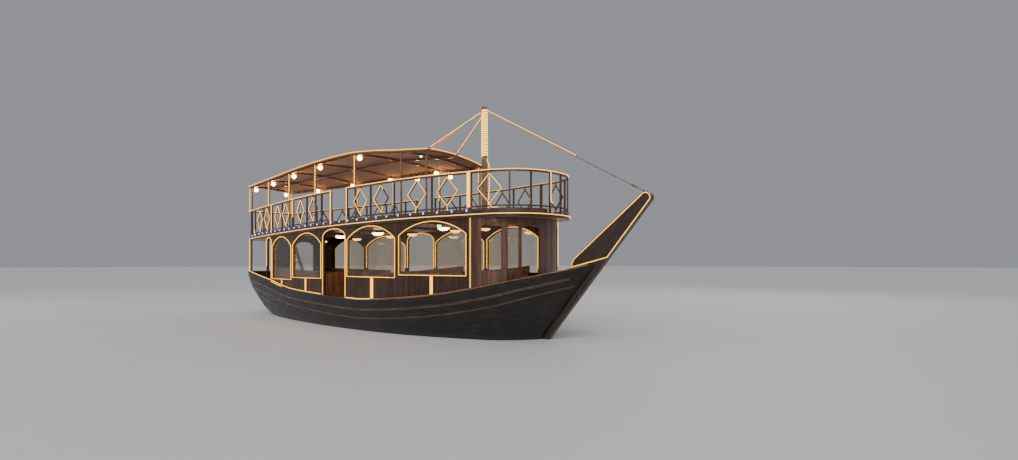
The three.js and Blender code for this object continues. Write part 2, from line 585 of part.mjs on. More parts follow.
// stair from the open stern up through the hatch
const stair = { x: [-8330, -7180], y: [120, 740], rises: 7 };
const stairPieces = [];
const stairBottom = 1015;
const stairTop = 3085;
[stair.y[0], stair.y[1] - 40].forEach((y) => {
  stairPieces.push(bar([stair.x[1], y + 20, stairBottom + 40], [stair.x[0], y + 20, stairTop - 60], 40, 170));
});
for (let k = 1; k <= stair.rises; k += 1) {
  const t = k / (stair.rises + 0.6);
  const x = stair.x[1] + (stair.x[0] - stair.x[1]) * t;
  stairPieces.push(box([210, stair.y[1] - stair.y[0] - 4, 32], [x, (stair.y[0] + stair.y[1]) / 2, stairBottom + (stairTop - stairBottom) * t]));
}
let stairBody = union(stairPieces);
stairBody = cut(stairBody, [...deckCutters, upper.translate([0, 0, -gap]), upper.translate([gap, 0, 0]), upper]);
stairBody = stairBody.decompose().sort((a, b) => b.volume() - a.volume())[0];
addNode('stair', stairBody, teak);

// corner posts of the open stern, under the upper deck
const sternPosts = box([66, 66, 1534], [-8758, -plan(-8680) + 40, 2483]);
const cornerPosts = cut(sternPosts, [...deckCutters, ceilingCutter]);
addPair('stern_post_side', cornerPosts, teak);

// upper railings: posts, top rail, foot rail and the rope-light diamonds between them
const sidePoint = (x) => [x, -plan(x) + rail.inset];
function railRun(path, low, high, width) {
  const rings = path.map(([x, y], i) => {
    const [nx, ny] = normalAt(path, i);
    const z = upperDeck(x);
    const h = width / 2;
    return [[x + nx * h, y + ny * h, z + low], [x + nx * h, y + ny * h, z + high],
      [x - nx * h, y - ny * h, z + high], [x - nx * h, y - ny * h, z + low]];
  });
  return solid(loft(rings));
}
function railPost(x, y, nx = 0, ny = -1) {
  const turn = new THREE.Matrix4().makeRotationZ(Math.atan2(ny, nx));
  return box([46, 46, rail.top - 5], [x, y, upperDeck(x) + (rail.top - 5) / 2], turn);
}
function diamond(x, y, nx, ny, width) {
  const z = upperDeck(x);
  const along = [-ny, nx];
  const h = width / 2;
  const tall = (diamonds.high - diamonds.low) / 2;
  const mid = z + (diamonds.low + diamonds.high) / 2;
  const matrix = new THREE.Matrix4().makeBasis(
    new THREE.Vector3(...along, 0), new THREE.Vector3(0, 0, 1), new THREE.Vector3(along[1], -along[0], 0),
  );
  matrix.setPosition(x, y, 0);
  const rhomb = (scale) => [[0, mid - tall * scale], [h * scale, mid], [0, mid + tall * scale], [-h * scale, mid]];
  const half = diamonds.bar / 2;
  const stem = (low, high) => slabFrom([[-half, low], [half, low], [half, high], [-half, high]], matrix, -half, half);
  return union([
    slabFrom(rhomb(1), matrix, -half, half, [rhomb(0.89)]),
    stem(z + rail.foot - 20, z + diamonds.low + 20), stem(z + diamonds.high - 20, z + rail.top - 20),
  ]);
}
function sideNormal(x) {
  const d = (plan(x + 20) - plan(x - 20)) / 40;
  const length = Math.hypot(1, d);
  return [-d / length, -1 / length];
}
const stops = (from, to, step) => {
  const count = Math.max(Math.round((to - from) / step), 1);
  return Array.from({ length: count + 1 }, (unused, i) => from + (to - from) * i / count);
};
function railSet(path, postXs, diamondXs) {
  const list = [railRun(path, rail.top - rail.section, rail.top, rail.section), railRun(path, rail.foot - 40, rail.foot, 36)];
  postXs.forEach((x) => {
    const [nx, ny] = sideNormal(x);
    const [px, py] = sidePoint(x);
    list.push(railPost(px, py, nx, ny));
  });
  diamondXs.forEach((x) => {
    const [nx, ny] = sideNormal(x);
    const [px, py] = sidePoint(x);
    list.push(diamond(px, py, nx, ny, diamonds.width.aft));
  });
  return list;
}
const deckTopCutter = slabLayer(-600, slab.above + gap, 100);
const aftSide = stops(-8750, -1680, 900).map(sidePoint);
let aftRail = union(railSet(aftSide, railPosts.aft, diamondSpots.aft));
aftRail = aftRail.add(toPort(aftRail)).add(bar(
  [-8750, -plan(-8750) + rail.inset, upperDeck(-8750) + rail.top - 25],
  [-8750, plan(-8750) - rail.inset, upperDeck(-8750) + rail.top - 25], rail.section, rail.section,
)).add(bar(
  [-8750, -plan(-8750) + rail.inset, upperDeck(-8750) + rail.foot - 20],
  [-8750, plan(-8750) - rail.inset, upperDeck(-8750) + rail.foot - 20], 36, 40,
));
[-420, 420].forEach((y) => { aftRail = aftRail.add(diamond(-8750, y, -1, 0, diamonds.width.aft)); });
aftRail = aftRail.add(railPost(-8750, 0, -1, 0));
addNode('rail_aft', aftRail.subtract(deckTopCutter), darkWood);

const foreSide = stops(-785, 4100, 800).map(sidePoint);
const turnIn = planTable.filter((row) => row[0] > 4200).map(([x]) => {
  const [nx, ny] = sideNormal(Math.min(x, 5940));
  return [x - nx * rail.inset, -plan(x) - ny * rail.inset];
});
turnIn[turnIn.length - 1] = [5945, -200];
const forePath = [...foreSide, ...turnIn];
const wholeFore = [...forePath, ...forePath.map(([x, y]) => [x, -y]).reverse()];
let foreRail = union([
  railRun(wholeFore, rail.top - rail.section, rail.top, rail.section),
  railRun(wholeFore, rail.foot - 40, rail.foot, 36),
]);
const foreBits = [];
railPosts.fore.forEach((x) => {
  const [nx, ny] = sideNormal(x);
  foreBits.push(railPost(...sidePoint(x), nx, ny));
});
diamondSpots.fore.forEach((x) => {
  const [nx, ny] = sideNormal(x);
  foreBits.push(diamond(...sidePoint(x), nx, ny, diamonds.width.fore));
});
const curveAt = (x) => {
  const [nx, ny] = sideNormal(x);
  return [x - nx * rail.inset, -plan(x) - ny * rail.inset, nx, ny];
};
foreBits.push(diamond(...curveAt(4903), diamonds.width.fore));
[5400, 5790].forEach((x) => foreBits.push(railPost(...curveAt(x))));
foreBits.push(railPost(5940, -250, 1, 0));
foreBits.forEach((bit) => { foreRail = foreRail.add(bit).add(toPort(bit)); });
addNode('rail_fore', foreRail.subtract(deckTopCutter), darkWood);

// canopy: a cambered cloth roof on a frame of posts, eaves and ribs
const canopyAt = (x) => {
  const [half, eave, lean] = ['half', 'eave', 'lean'].map((key) => straight(canopyTable, key, x));
  const under = (y) => eave - lean * (1 + y / half) / 2 + canopyCamber * (1 - (y / half) ** 2);
  return { half, under };
};
const camberSteps = 6;
const canopyRing = (x, low, high, trim = 0) => {
  const { half, under } = canopyAt(x);
  const arc = Array.from({ length: camberSteps + 1 }, (unused, k) => {
    const y = (half - trim) * (-1 + (2 * k) / camberSteps);
    return [y, under(y)];
  });
  return [...arc.map(([y, z]) => [x, y, z + low]), ...arc.map(([y, z]) => [x, y, z + high]).reverse()];
};
const canopy = solid(loft(canopyTable.map((row) => canopyRing(row.x, 0, canopyThickness))));
addNode('canopy', canopy, cloth);
const canopyLow = solid(loft(canopyTable.map((row) => canopyRing(row.x, -gap, 1500))));
const postSpot = (x, sign) => sign * (canopyAt(x).half - (x < 400 ? 110 : 60));
const canopyFront = canopyTable[canopyTable.length - 1].x;
const framePieces = [];
canopyPosts.forEach((x) => {
  [-1, 1].forEach((sign) => {
    const y = postSpot(x, sign);
    framePieces.push(rod([x, y, upperDeck(x) + slab.above + gap], [x, y, canopyAt(x).under(y) + 10], 30, 30, 8));
  });
  framePieces.push(solid(loft([canopyRing(x - 22, -60, 12, 30), canopyRing(x + 22, -60, 12, 30)])));
});
const lengthwise = (spot, drop) => solid(loft(canopyTable.map((row) => {
  const x = Math.min(Math.max(row.x, canopyTable[0].x + 20), canopyFront - 20);
  const y = spot(x);
  const z = canopyAt(x).under(y);
  return [[x, y - 25, z - drop], [x, y + 25, z - drop], [x, y + 25, z + 30], [x, y - 25, z + 30]];
})));
[-1, 1].forEach((sign) => framePieces.push(lengthwise((x) => postSpot(x, sign), 80)));
framePieces.push(lengthwise(() => 0, 60));
// globe lamps under the ribs, just inboard of the posts
globeSpots.forEach((x) => [-1, 1].forEach((sign) => {
  const y = postSpot(x, sign) - sign * 170;
  const top = canopyAt(x).under(y) - 50;
  const globe = new THREE.SphereGeometry(70, 12, 8);
  globe.rotateX(Math.PI / 2);
  globe.translate(x, y, top - 95);
  framePieces.push(rod([x, y, top], [x, y, top - 60], 16, 16, 8), solid(globe));
}));
const stayFoot = (y) => [canopyFront + 50, y, canopyAt(canopyFront).under(y) + 15];
const stayEnds = [
  { name: 'stay_starboard', from: [3326, -78, 6560], to: stayFoot(-1160) },
  { name: 'stay_port', from: [3326, 78, 6560], to: stayFoot(1160) },
  { name: 'stay_middle', from: [3280, 0, 6480], to: stayFoot(0) },
];
stayEnds.forEach(({ to }) => {
  framePieces.push(box([100, 50, 50], [canopyFront + 15, to[1], to[2] - 40]));
});
let frameBody = union(framePieces);
frameBody = cut(frameBody, [canopyLow, deckTopCutter]);
frameBody = frameBody.decompose().sort((a, b) => b.volume() - a.volume())[0];

// short mast with its cap, foot chock and the main stays
const mast = rod([mastSpot.x, 0, upperDeck(mastSpot.x) + slab.above - 20], [mastSpot.x, 0, mastSpot.head], mastSpot.radius, 72, 20)
  .add(rod([mastSpot.x, 0, mastSpot.head - 4], [mastSpot.x, 0, mastSpot.head + 40], 92, 80, 20))
  .add(box([420, 420, 110], [mastSpot.x, 0, upperDeck(mastSpot.x) + slab.above + 30]));
let mastBody = mast.subtract(deckTopCutter);

function stayRun(name, from, to, radius) {
  const a = new THREE.Vector3(...from);
  const b = new THREE.Vector3(...to);
  const along = b.clone().sub(a).normalize();
  const block = (centre) => {
    const side = new THREE.Vector3(0, 1, 0);
    const third = new THREE.Vector3().crossVectors(along, side).normalize();
    const flat = new THREE.Vector3().crossVectors(third, along).normalize();
    return box([44, 44, 44], centre.toArray(), new THREE.Matrix4().makeBasis(along, flat, third));
  };
  const near = block(a.clone().addScaledVector(along, -22));
  const far = block(b.clone().addScaledVector(along, 22));
  const wire = rod(a.clone().addScaledVector(along, gap).toArray(), b.clone().addScaledVector(along, -gap).toArray(), radius, radius, 8);
  return { near, far, wire };
}
stayEnds.forEach(({ name, from, to }) => {
  const run = stayRun(name, from, to, 14);
  mastBody = mastBody.add(run.near);
  frameBody = frameBody.add(run.far.subtract(canopyLow));
  addNode(name, run.wire, steel);
});
const forestay = stayRun('forestay', [3465, 0, 6600], forestayEnd, 14);
mastBody = mastBody.add(forestay.near);
stem = stem.add(forestay.far);
addNode('forestay', forestay.wire, steel);
addNode('mast', mastBody, darkWood);
addNode('canopy_frame', frameBody, teak);
addNode('stem', stem, teak);

// benches along the cabin sides and the tables between them
const benchRing = (x) => {
  const back = -plan(x) + wallThickness + 110;
  const deck = straight(hullTable, 'deck', x) - 40;
  return [[x, back, deck], [x, back + 480, deck], [x, back + 480, deck + 490], [x, back + 90, deck + 490],
    [x, back + 60, deck + 900], [x, back, deck + 900]];
};
[['aft', -6200, -2950], ['fore', -200, 3900]].forEach(([name, from, to]) => {
  const bench = solid(loft(stops(from, to, 700).map(benchRing)));
  addPair(`bench_side_${name}`, cut(bench, deckCutters), teak);
});
[-5450, -3950, 700, 2500].forEach((x, i) => {
  const deck = straight(hullTable, 'deck', x);
  const table = union([
    box([1100, 620, 36], [x, 0, deck + 740]),
    rod([x, 0, deck - 60], [x, 0, deck + 730], 45, 45, 12),
    box([520, 420, 130], [x, 0, deck + 10]),
  ]);
  addNode(`table_${i + 1}`, cut(table, deckCutters), darkWood);
});

export default part;
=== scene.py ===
import bpy
import math
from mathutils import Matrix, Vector
from mathutils.bvhtree import BVHTree


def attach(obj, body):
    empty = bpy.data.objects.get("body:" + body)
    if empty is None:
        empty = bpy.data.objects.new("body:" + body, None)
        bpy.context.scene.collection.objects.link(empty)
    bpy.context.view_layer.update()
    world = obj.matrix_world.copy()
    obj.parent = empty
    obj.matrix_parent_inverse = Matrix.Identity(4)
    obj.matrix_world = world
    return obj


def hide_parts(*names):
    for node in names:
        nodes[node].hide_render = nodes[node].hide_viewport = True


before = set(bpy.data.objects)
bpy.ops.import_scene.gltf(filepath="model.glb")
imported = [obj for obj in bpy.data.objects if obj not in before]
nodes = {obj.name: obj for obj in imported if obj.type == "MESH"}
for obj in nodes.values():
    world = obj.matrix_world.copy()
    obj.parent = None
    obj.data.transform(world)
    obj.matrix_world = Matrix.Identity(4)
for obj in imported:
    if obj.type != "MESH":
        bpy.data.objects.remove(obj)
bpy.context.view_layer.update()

# camera, floor and studio light

view = {
    "place": (15.31, -13.369, 2.1),
    "turn": 39.44,
    # 600 of the picture's 1018 pixels, on a 36 mm film
    "lens": 600 * 36 / 1018,
    "filmWidth": 36,
    "rise": 32.5 / 1018,
    "reach": 900,
}
studio = {
    "sky": (0.52, 0.54, 0.58),
    "skyStrength": 0.58,
    "floor": (0.74, 0.74, 0.73),
    "floorReach": 300,
    # the main light: where it comes from, how soft, strength, colour
    "sun": ((20, -28, 26), 50, 1.7, (1.0, 0.97, 0.93)),
    "sunTarget": (0, 0, 2),
    "lights": [
        # place, aimed at, size, watts, colour
        ((20, -28, 20), (0, 0, 2), 24, 1600, (1.0, 0.97, 0.93)),
        ((-24, -20, 18), (-2, 0, 2), 20, 1500, (0.93, 0.96, 1.0)),
        ((4, 28, 20), (0, 0, 3), 22, 1500, (1.0, 0.98, 0.95)),
    ],
}


def makeCamera():
    lens = bpy.data.cameras.new("viewCamera")
    lens.lens = view["lens"]
    lens.sensor_width = view["filmWidth"]
    lens.shift_y = view["rise"]
    lens.clip_end = view["reach"]
    camera = bpy.data.objects.new("viewCamera", lens)
    camera.location = view["place"]
    camera.rotation_euler = (math.radians(90), 0, math.radians(view["turn"]))
    bpy.context.scene.collection.objects.link(camera)
    bpy.context.scene.camera = camera


def hangLight(lamp, energy, colour, place, target):
    lamp.energy = energy
    lamp.color = colour
    holder = bpy.data.objects.new(lamp.name, lamp)
    holder.location = place
    aim = Vector(target) - Vector(place)
    holder.rotation_euler = aim.to_track_quat("-Z", "Y").to_euler()
    bpy.context.scene.collection.objects.link(holder)


def makeStudio():
    world = bpy.data.worlds.new("studioWorld")
    world.use_nodes = True
    ground = world.node_tree.nodes["Background"]
    ground.inputs["Color"].default_value = (*studio["sky"], 1)
    ground.inputs["Strength"].default_value = studio["skyStrength"]
    bpy.context.scene.world = world
    place, softness, strength, colour = studio["sun"]
    sun = bpy.data.lights.new("mainLight", "SUN")
    sun.angle = math.radians(softness)
    hangLight(sun, strength, colour, place, studio["sunTarget"])
    for i, (place, target, size, watts, colour) in enumerate(studio["lights"]):
        lamp = bpy.data.lights.new(f"softLight{i}", "AREA")
        lamp.shape = "DISK"
        lamp.size = size
        hangLight(lamp, watts, colour, place, target)


makeCamera()
makeStudio()
print("camera and studio light are in")

# shader helpers


def addTo(tree, kind, inputs=(), **settings):
    made = tree.nodes.new("ShaderNode" + kind)
    for key, value in settings.items():
        setattr(made, key, value)
    for key, value in dict(inputs).items():
        if isinstance(value, bpy.types.NodeSocket):
            tree.links.new(value, made.inputs[key])
        else:
            made.inputs[key].default_value = value
    return made


def mathOf(tree, operation, a, b=0.0):
    return addTo(tree, "Math", {0: a, 1: b}, operation=operation).outputs[0]


def plus(tree, a, b):
    return mathOf(tree, "ADD", a, b)


def minus(tree, a, b):
    return mathOf(tree, "SUBTRACT", a, b)


def times(tree, a, b):
    return mathOf(tree, "MULTIPLY", a, b)


def sineOf(tree, value):
    return mathOf(tree, "SINE", value)


def rangeOf(tree, value, low, high, toLow=0.0, toHigh=1.0):
    inputs = {0: value, 1: low, 2: high, 3: toLow, 4: toHigh}
    return addTo(tree, "MapRange", inputs, interpolation_type="SMOOTHSTEP").outputs[0]


def noiseOf(tree, vector, scale, detail=4.0, roughness=0.55):
    inputs = {"Vector": vector, "Scale": scale, "Detail": detail, "Roughness": roughness}
    return addTo(tree, "TexNoise", inputs).outputs["Fac"]


def stretched(tree, vector, scale):
    return addTo(tree, "VectorMath", {0: vector, 1: scale}, operation="MULTIPLY").outputs[0]


def axesOf(tree, vector):
    return addTo(tree, "SeparateXYZ", {0: vector}).outputs


def blendOf(tree, factor, a, b):
    made = addTo(tree, "Mix", data_type="RGBA")
    for index, value in ((0, factor), (6, a), (7, b)):
        if isinstance(value, bpy.types.NodeSocket):
            tree.links.new(value, made.inputs[index])
        elif index == 0:
            made.inputs[index].default_value = value
        else:
            made.inputs[index].default_value = (*value, 1)
    return made.outputs[2]


def heightBlendOf(tree, factor, a, b):
    return addTo(tree, "Mix", {0: factor, 2: a, 3: b}).outputs[0]


def seamsOf(tree, value, pitch, width):
    away = mathOf(tree, "PINGPONG", value, pitch / 2)
    return rangeOf(tree, away, 0.0, width, 1.0, 0.0)


def boardOf(tree, value, pitch):
    # a number for each board, different from its neighbours'
    step = mathOf(tree, "FLOOR", mathOf(tree, "DIVIDE", value, pitch))
    return addTo(tree, "TexWhiteNoise", {"W": step}, noise_dimensions="1D").outputs["Value"]


def facingUp(tree):
    return axesOf(tree, addTo(tree, "NewGeometry").outputs["Normal"])[2]


def newFinish(name, roughness=0.5, metal=0.0, **numbers):
    material = bpy.data.materials.new(name)
    material.use_nodes = True
    tree = material.node_tree
    shader = tree.nodes["Principled BSDF"]
    shader.inputs["Roughness"].default_value = roughness
    shader.inputs["Metallic"].default_value = metal
    for key, value in numbers.items():
        shader.inputs[key.replace("_", " ")].default_value = value
    place = addTo(tree, "TexCoord").outputs["Object"]
    return material, tree, shader, place


def wire(tree, shader, colour=None, roughness=None, height=None, depth=0.002):
    if colour is not None:
        tree.links.new(colour, shader.inputs["Base Color"])
    if roughness is not None:
        tree.links.new(roughness, shader.inputs["Roughness"])
    if height is not None:
        bump = addTo(tree, "Bump", {"Height": height, "Distance": depth, "Strength": 1.0})
        tree.links.new(bump.outputs[0], shader.inputs["Normal"])


def grainOf(tree, place, along):
    # long soft figure and fine pores, both drawn out along the board
    thin = {"x": (0.9, 9, 9), "y": (9, 0.9, 9), "z": (9, 9, 0.9)}[along]
    fine = {"x": (5, 130, 130), "y": (130, 5, 130), "z": (130, 130, 5)}[along]
    figure = noiseOf(tree, stretched(tree, place, thin), 1.6, 5.0, 0.62)
    pores = noiseOf(tree, stretched(tree, place, fine), 1.0, 3.0, 0.6)
    return figure, pores


# timber finishes

timbers = {
    "teakAlong": {"along": "x", "pale": (0.30, 0.135, 0.052), "deep": (0.115, 0.042, 0.017), "gloss": 0.34},
    "teakUpright": {"along": "z", "pale": (0.29, 0.128, 0.050), "deep": (0.110, 0.040, 0.016), "gloss": 0.34},
    "teakAcross": {"along": "y", "pale": (0.30, 0.135, 0.052), "deep": (0.115, 0.042, 0.017), "gloss": 0.34},
    "railTimber": {"along": "x", "pale": (0.090, 0.040, 0.020), "deep": (0.032, 0.014, 0.008), "gloss": 0.38},
    "doorTimber": {"along": "z", "pale": (0.21, 0.082, 0.032), "deep": (0.085, 0.028, 0.012), "gloss": 0.3},
}


def makeTimber(name):
    row = timbers[name]
    material, tree, shader, place = newFinish(name, Coat_Weight=0.35, Coat_Roughness=0.16)
    figure, pores = grainOf(tree, place, row["along"])
    band = rangeOf(tree, figure, 0.34, 0.66)
    colour = blendOf(tree, band, row["deep"], row["pale"])
    speck = rangeOf(tree, pores, 0.55, 0.75, 0.0, 0.55)
    colour = blendOf(tree, speck, colour, tuple(c * 0.45 for c in row["deep"]))
    wear = rangeOf(tree, noiseOf(tree, place, 3.1, 6.0), 0.35, 0.7, row["gloss"], row["gloss"] + 0.22)
    wire(tree, shader, colour, wear, plus(tree, figure, times(tree, pores, 0.5)), 0.0012)
    return material


boardWalls = {
    # upright boards with a fine groove between them; the coat is given by weight and roughness,
    # the wear by its scale and the roughness where it is glossy and where it is worn
    "wallTimber": {
        "coat": (0.12, 0.2), "shine": 0.35, "board": 0.118, "groove": 0.005, "varied": 0.18,
        "band": (0.36, 0.84),
        "deep": (0.020, 0.0095, 0.006), "pale": (0.072, 0.031, 0.015), "dark": (0.006, 0.004, 0.003),
        "wear": (2.2, 0.36, 0.6),
    },
    # these follow the round front: the middle of its bend, and its radius
    "frontTimber": {
        "coat": (0.4, 0.15), "shine": 0.5, "board": 0.125, "groove": 0.005, "varied": 0.2,
        "band": (0.36, 0.86),
        "deep": (0.055, 0.021, 0.010), "pale": (0.165, 0.066, 0.027), "dark": (0.012, 0.006, 0.004),
        "wear": (2.6, 0.3, 0.52), "bend": (4.05, 1.58),
    },
}


def makeBoardWall(name):
    row = boardWalls[name]
    weight, gloss = row["coat"]
    material, tree, shader, place = newFinish(
        name, Coat_Weight=weight, Coat_Roughness=gloss, Specular_IOR_Level=row["shine"])
    x, y, z = axesOf(tree, place)
    run = x
    if "bend" in row:
        middle, radius = row["bend"]
        run = times(tree, mathOf(tree, "ARCTAN2", y, minus(tree, x, middle)), radius)
    seam = seamsOf(tree, run, row["board"], row["groove"])
    board = boardOf(tree, run, row["board"])
    figure, pores = grainOf(tree, place, "z")
    band = rangeOf(tree, plus(tree, figure, times(tree, board, row["varied"])), *row["band"])
    colour = blendOf(tree, band, row["deep"], row["pale"])
    colour = blendOf(tree, seam, colour, row["dark"])
    scale, glossy, worn = row["wear"]
    wear = rangeOf(tree, noiseOf(tree, place, scale, 6.0), 0.35, 0.7, glossy, worn)
    wire(tree, shader, colour, wear, minus(tree, times(tree, pores, 0.25), times(tree, seam, 2.0)), 0.0022)
    return material


deckPlanks = {
    "board": 0.105, "caulk": 0.006, "length": 2.7, "butt": 0.005,
    "deep": (0.14, 0.078, 0.042), "pale": (0.33, 0.20, 0.115), "dark": (0.012, 0.010, 0.009),
}


def deckBoards(tree, place, x, y):
    # narrow boards with dark caulking and staggered butts
    board = boardOf(tree, y, deckPlanks["board"])
    caulk = seamsOf(tree, y, deckPlanks["board"], deckPlanks["caulk"])
    shifted = plus(tree, x, times(tree, board, deckPlanks["length"]))
    butt = seamsOf(tree, shifted, deckPlanks["length"], deckPlanks["butt"])
    seam = mathOf(tree, "MAXIMUM", caulk, butt)
    figure, pores = grainOf(tree, place, "x")
    band = rangeOf(tree, plus(tree, figure, times(tree, board, 0.25)), 0.38, 0.9)
    colour = blendOf(tree, band, deckPlanks["deep"], deckPlanks["pale"])
    colour = blendOf(tree, seam, colour, deckPlanks["dark"])
    return colour, minus(tree, times(tree, pores, 0.3), times(tree, seam, 1.6))


def scuffedPaint(tree, scuff, fresh, worn):
    return blendOf(tree, rangeOf(tree, scuff, 0.42, 0.72), fresh, worn)


def bottomPaint(tree, place, deep, pale):
    # dull red paint, with the weathering that other shades follow
    weather = noiseOf(tree, stretched(tree, place, (1.0, 3.0, 3.0)), 1.7, 7.0, 0.6)
    return weather, blendOf(tree, rangeOf(tree, weather, 0.35, 0.7), deep, pale)


hullPaint = {
    "plank": 0.19, "plankLength": 4.0, "seam": 0.006,
    # how much the planks rise toward the bow and the stern, for each square metre
    "sheer": (0.0205, 0.0112),
    "fresh": (0.0095, 0.0088, 0.0085), "worn": (0.030, 0.026, 0.023), "varied": (0.020, 0.015, 0.012),
    "dark": (0.004, 0.004, 0.004), "stain": (0.030, 0.031, 0.022),
    "bottom": ((0.090, 0.020, 0.014), (0.17, 0.055, 0.035)),
    # height of the painted waterline, and of the stain over it
    "waterline": (0.01, 0.03), "stainTop": 0.22,
}


def makeHullFinish():
    # black paint on planks that follow the sheer, boards on deck, dull red below the water
    row = hullPaint
    material, tree, shader, place = newFinish(
        "hullPaint", Coat_Weight=0.1, Coat_Roughness=0.3, Specular_IOR_Level=0.3)
    x, y, z = axesOf(tree, place)
    ahead = mathOf(tree, "MAXIMUM", x, 0.0)
    behind = mathOf(tree, "MINIMUM", x, 0.0)
    rise = plus(tree, times(tree, times(tree, ahead, ahead), row["sheer"][0]),
                times(tree, times(tree, behind, behind), row["sheer"][1]))
    share = rangeOf(tree, z, -1.1, 1.6, 0.25, 1.0)
    # ten metres are added because the seams are counted from above zero
    strake = plus(tree, minus(tree, z, times(tree, rise, share)), 10.0)
    seam = seamsOf(tree, strake, row["plank"], row["seam"])
    board = boardOf(tree, strake, row["plank"])
    shifted = plus(tree, x, times(tree, board, row["plankLength"]))
    butt = seamsOf(tree, shifted, row["plankLength"], row["seam"])
    seam = mathOf(tree, "MAXIMUM", seam, times(tree, butt, 0.8))
    figure, pores = grainOf(tree, place, "x")
    scuff = noiseOf(tree, stretched(tree, place, (0.7, 2.5, 4.0)), 2.3, 8.0, 0.68)
    paint = scuffedPaint(tree, scuff, row["fresh"], row["worn"])
    paint = blendOf(tree, times(tree, board, 0.35), paint, row["varied"])
    weather, bottom = bottomPaint(tree, place, *row["bottom"])
    edge = plus(tree, z, times(tree, weather, 0.03))
    dry = rangeOf(tree, edge, *row["waterline"])
    colour = blendOf(tree, dry, bottom, paint)
    stain = rangeOf(tree, edge, row["waterline"][1], row["stainTop"], 0.6, 0.0)
    colour = blendOf(tree, times(tree, stain, dry), colour, row["stain"])
    colour = blendOf(tree, times(tree, seam, 0.8), colour, row["dark"])
    deckColour, deckHeight = deckBoards(tree, place, x, y)
    deck = rangeOf(tree, facingUp(tree), 0.86, 0.94)
    colour = blendOf(tree, deck, colour, deckColour)
    rough = rangeOf(tree, scuff, 0.35, 0.75, 0.34, 0.62)
    side = minus(tree, times(tree, pores, 0.12), times(tree, seam, 1.4))
    side = plus(tree, side, times(tree, weather, 0.8))
    wire(tree, shader, colour, rough, heightBlendOf(tree, deck, side, deckHeight), 0.0032)
    return material


lining = {
    "board": 0.14, "groove": 0.006,
    "deep": (0.26, 0.115, 0.045), "pale": (0.52, 0.27, 0.115), "dark": (0.05, 0.022, 0.011),
    "edge": ((0.012, 0.010, 0.009), (0.035, 0.028, 0.022)),
}


def makeUpperDeckFinish():
    # boards on top, varnished lining overhead, black edge
    material, tree, shader, place = newFinish("upperDeckFinish", Coat_Weight=0.2, Coat_Roughness=0.25)
    x, y, z = axesOf(tree, place)
    deckColour, deckHeight = deckBoards(tree, place, x, y)
    seam = seamsOf(tree, x, lining["board"], lining["groove"])
    board = boardOf(tree, x, lining["board"])
    figure, pores = grainOf(tree, place, "y")
    band = rangeOf(tree, plus(tree, figure, times(tree, board, 0.2)), 0.36, 0.86)
    overhead = blendOf(tree, band, lining["deep"], lining["pale"])
    overhead = blendOf(tree, seam, overhead, lining["dark"])
    scuff = noiseOf(tree, stretched(tree, place, (1.0, 1.0, 5.0)), 4.0, 7.0, 0.65)
    up = facingUp(tree)
    top = rangeOf(tree, up, 0.5, 0.9)
    colour = blendOf(tree, top, scuffedPaint(tree, scuff, *lining["edge"]), deckColour)
    colour = blendOf(tree, rangeOf(tree, up, -0.5, -0.9), colour, overhead)
    rough = rangeOf(tree, scuff, 0.35, 0.75, 0.36, 0.6)
    low = minus(tree, times(tree, pores, 0.2), times(tree, seam, 1.4))
    wire(tree, shader, colour, rough, heightBlendOf(tree, top, low, deckHeight), 0.0022)
    return material


keelPaint = {"paint": ((0.085, 0.019, 0.013), (0.16, 0.052, 0.034)), "weed": (0.045, 0.05, 0.028)}


def makeKeelFinish():
    material, tree, shader, place = newFinish("bottomPaint", 0.62)
    weather, colour = bottomPaint(tree, place, *keelPaint["paint"])
    weed = noiseOf(tree, place, 11.0, 8.0, 0.7)
    colour = blendOf(tree, rangeOf(tree, weed, 0.56, 0.74, 0.0, 0.6), colour, keelPaint["weed"])
    wire(tree, shader, colour, rangeOf(tree, weed, 0.3, 0.7, 0.5, 0.8), plus(tree, weather, weed), 0.003)
    return material


stemTimber = {"lean": 0.86, "deep": (0.014, 0.0085, 0.006), "pale": (0.048, 0.022, 0.012)}


def makeStemFinish():
    # varnished above the water, painted as the keel below it
    material, tree, shader, place = newFinish("stemTimber", Coat_Weight=0.35, Coat_Roughness=0.2)
    x, y, z = axesOf(tree, place)
    turn = {"Vector": place, "Angle": stemTimber["lean"]}
    figure, pores = grainOf(tree, addTo(tree, "VectorRotate", turn, rotation_type="Y_AXIS").outputs[0], "x")
    top = blendOf(tree, rangeOf(tree, figure, 0.34, 0.68), stemTimber["deep"], stemTimber["pale"])
    weather, bottom = bottomPaint(tree, place, *keelPaint["paint"])
    edge = plus(tree, z, times(tree, weather, 0.03))
    colour = blendOf(tree, rangeOf(tree, edge, *hullPaint["waterline"]), bottom, top)
    rough = rangeOf(tree, weather, 0.3, 0.7, 0.34, 0.6)
    wire(tree, shader, colour, rough, plus(tree, figure, times(tree, pores, 0.4)), 0.0018)
    return material


metals = {
    "bronze": ((0.46, 0.27, 0.105), (0.16, 0.125, 0.062)),
    "stay": ((0.42, 0.41, 0.39), (0.16, 0.14, 0.12)),
    "fitting": ((0.018, 0.017, 0.016), (0.13, 0.10, 0.08)),
    # how fast the stay's strands turn along each axis
    "lay": (180.0, 420.0, 260.0),
}


def makeBronze():
    material, tree, shader, place = newFinish("bronzeCast", 0.34, 1.0)
    patina = noiseOf(tree, place, 9.0, 8.0, 0.66)
    cast = noiseOf(tree, place, 140.0, 3.0, 0.6)
    colour = blendOf(tree, rangeOf(tree, patina, 0.44, 0.7), *metals["bronze"])
    wire(tree, shader, colour, rangeOf(tree, patina, 0.35, 0.7, 0.25, 0.55), cast, 0.0006)
    return material


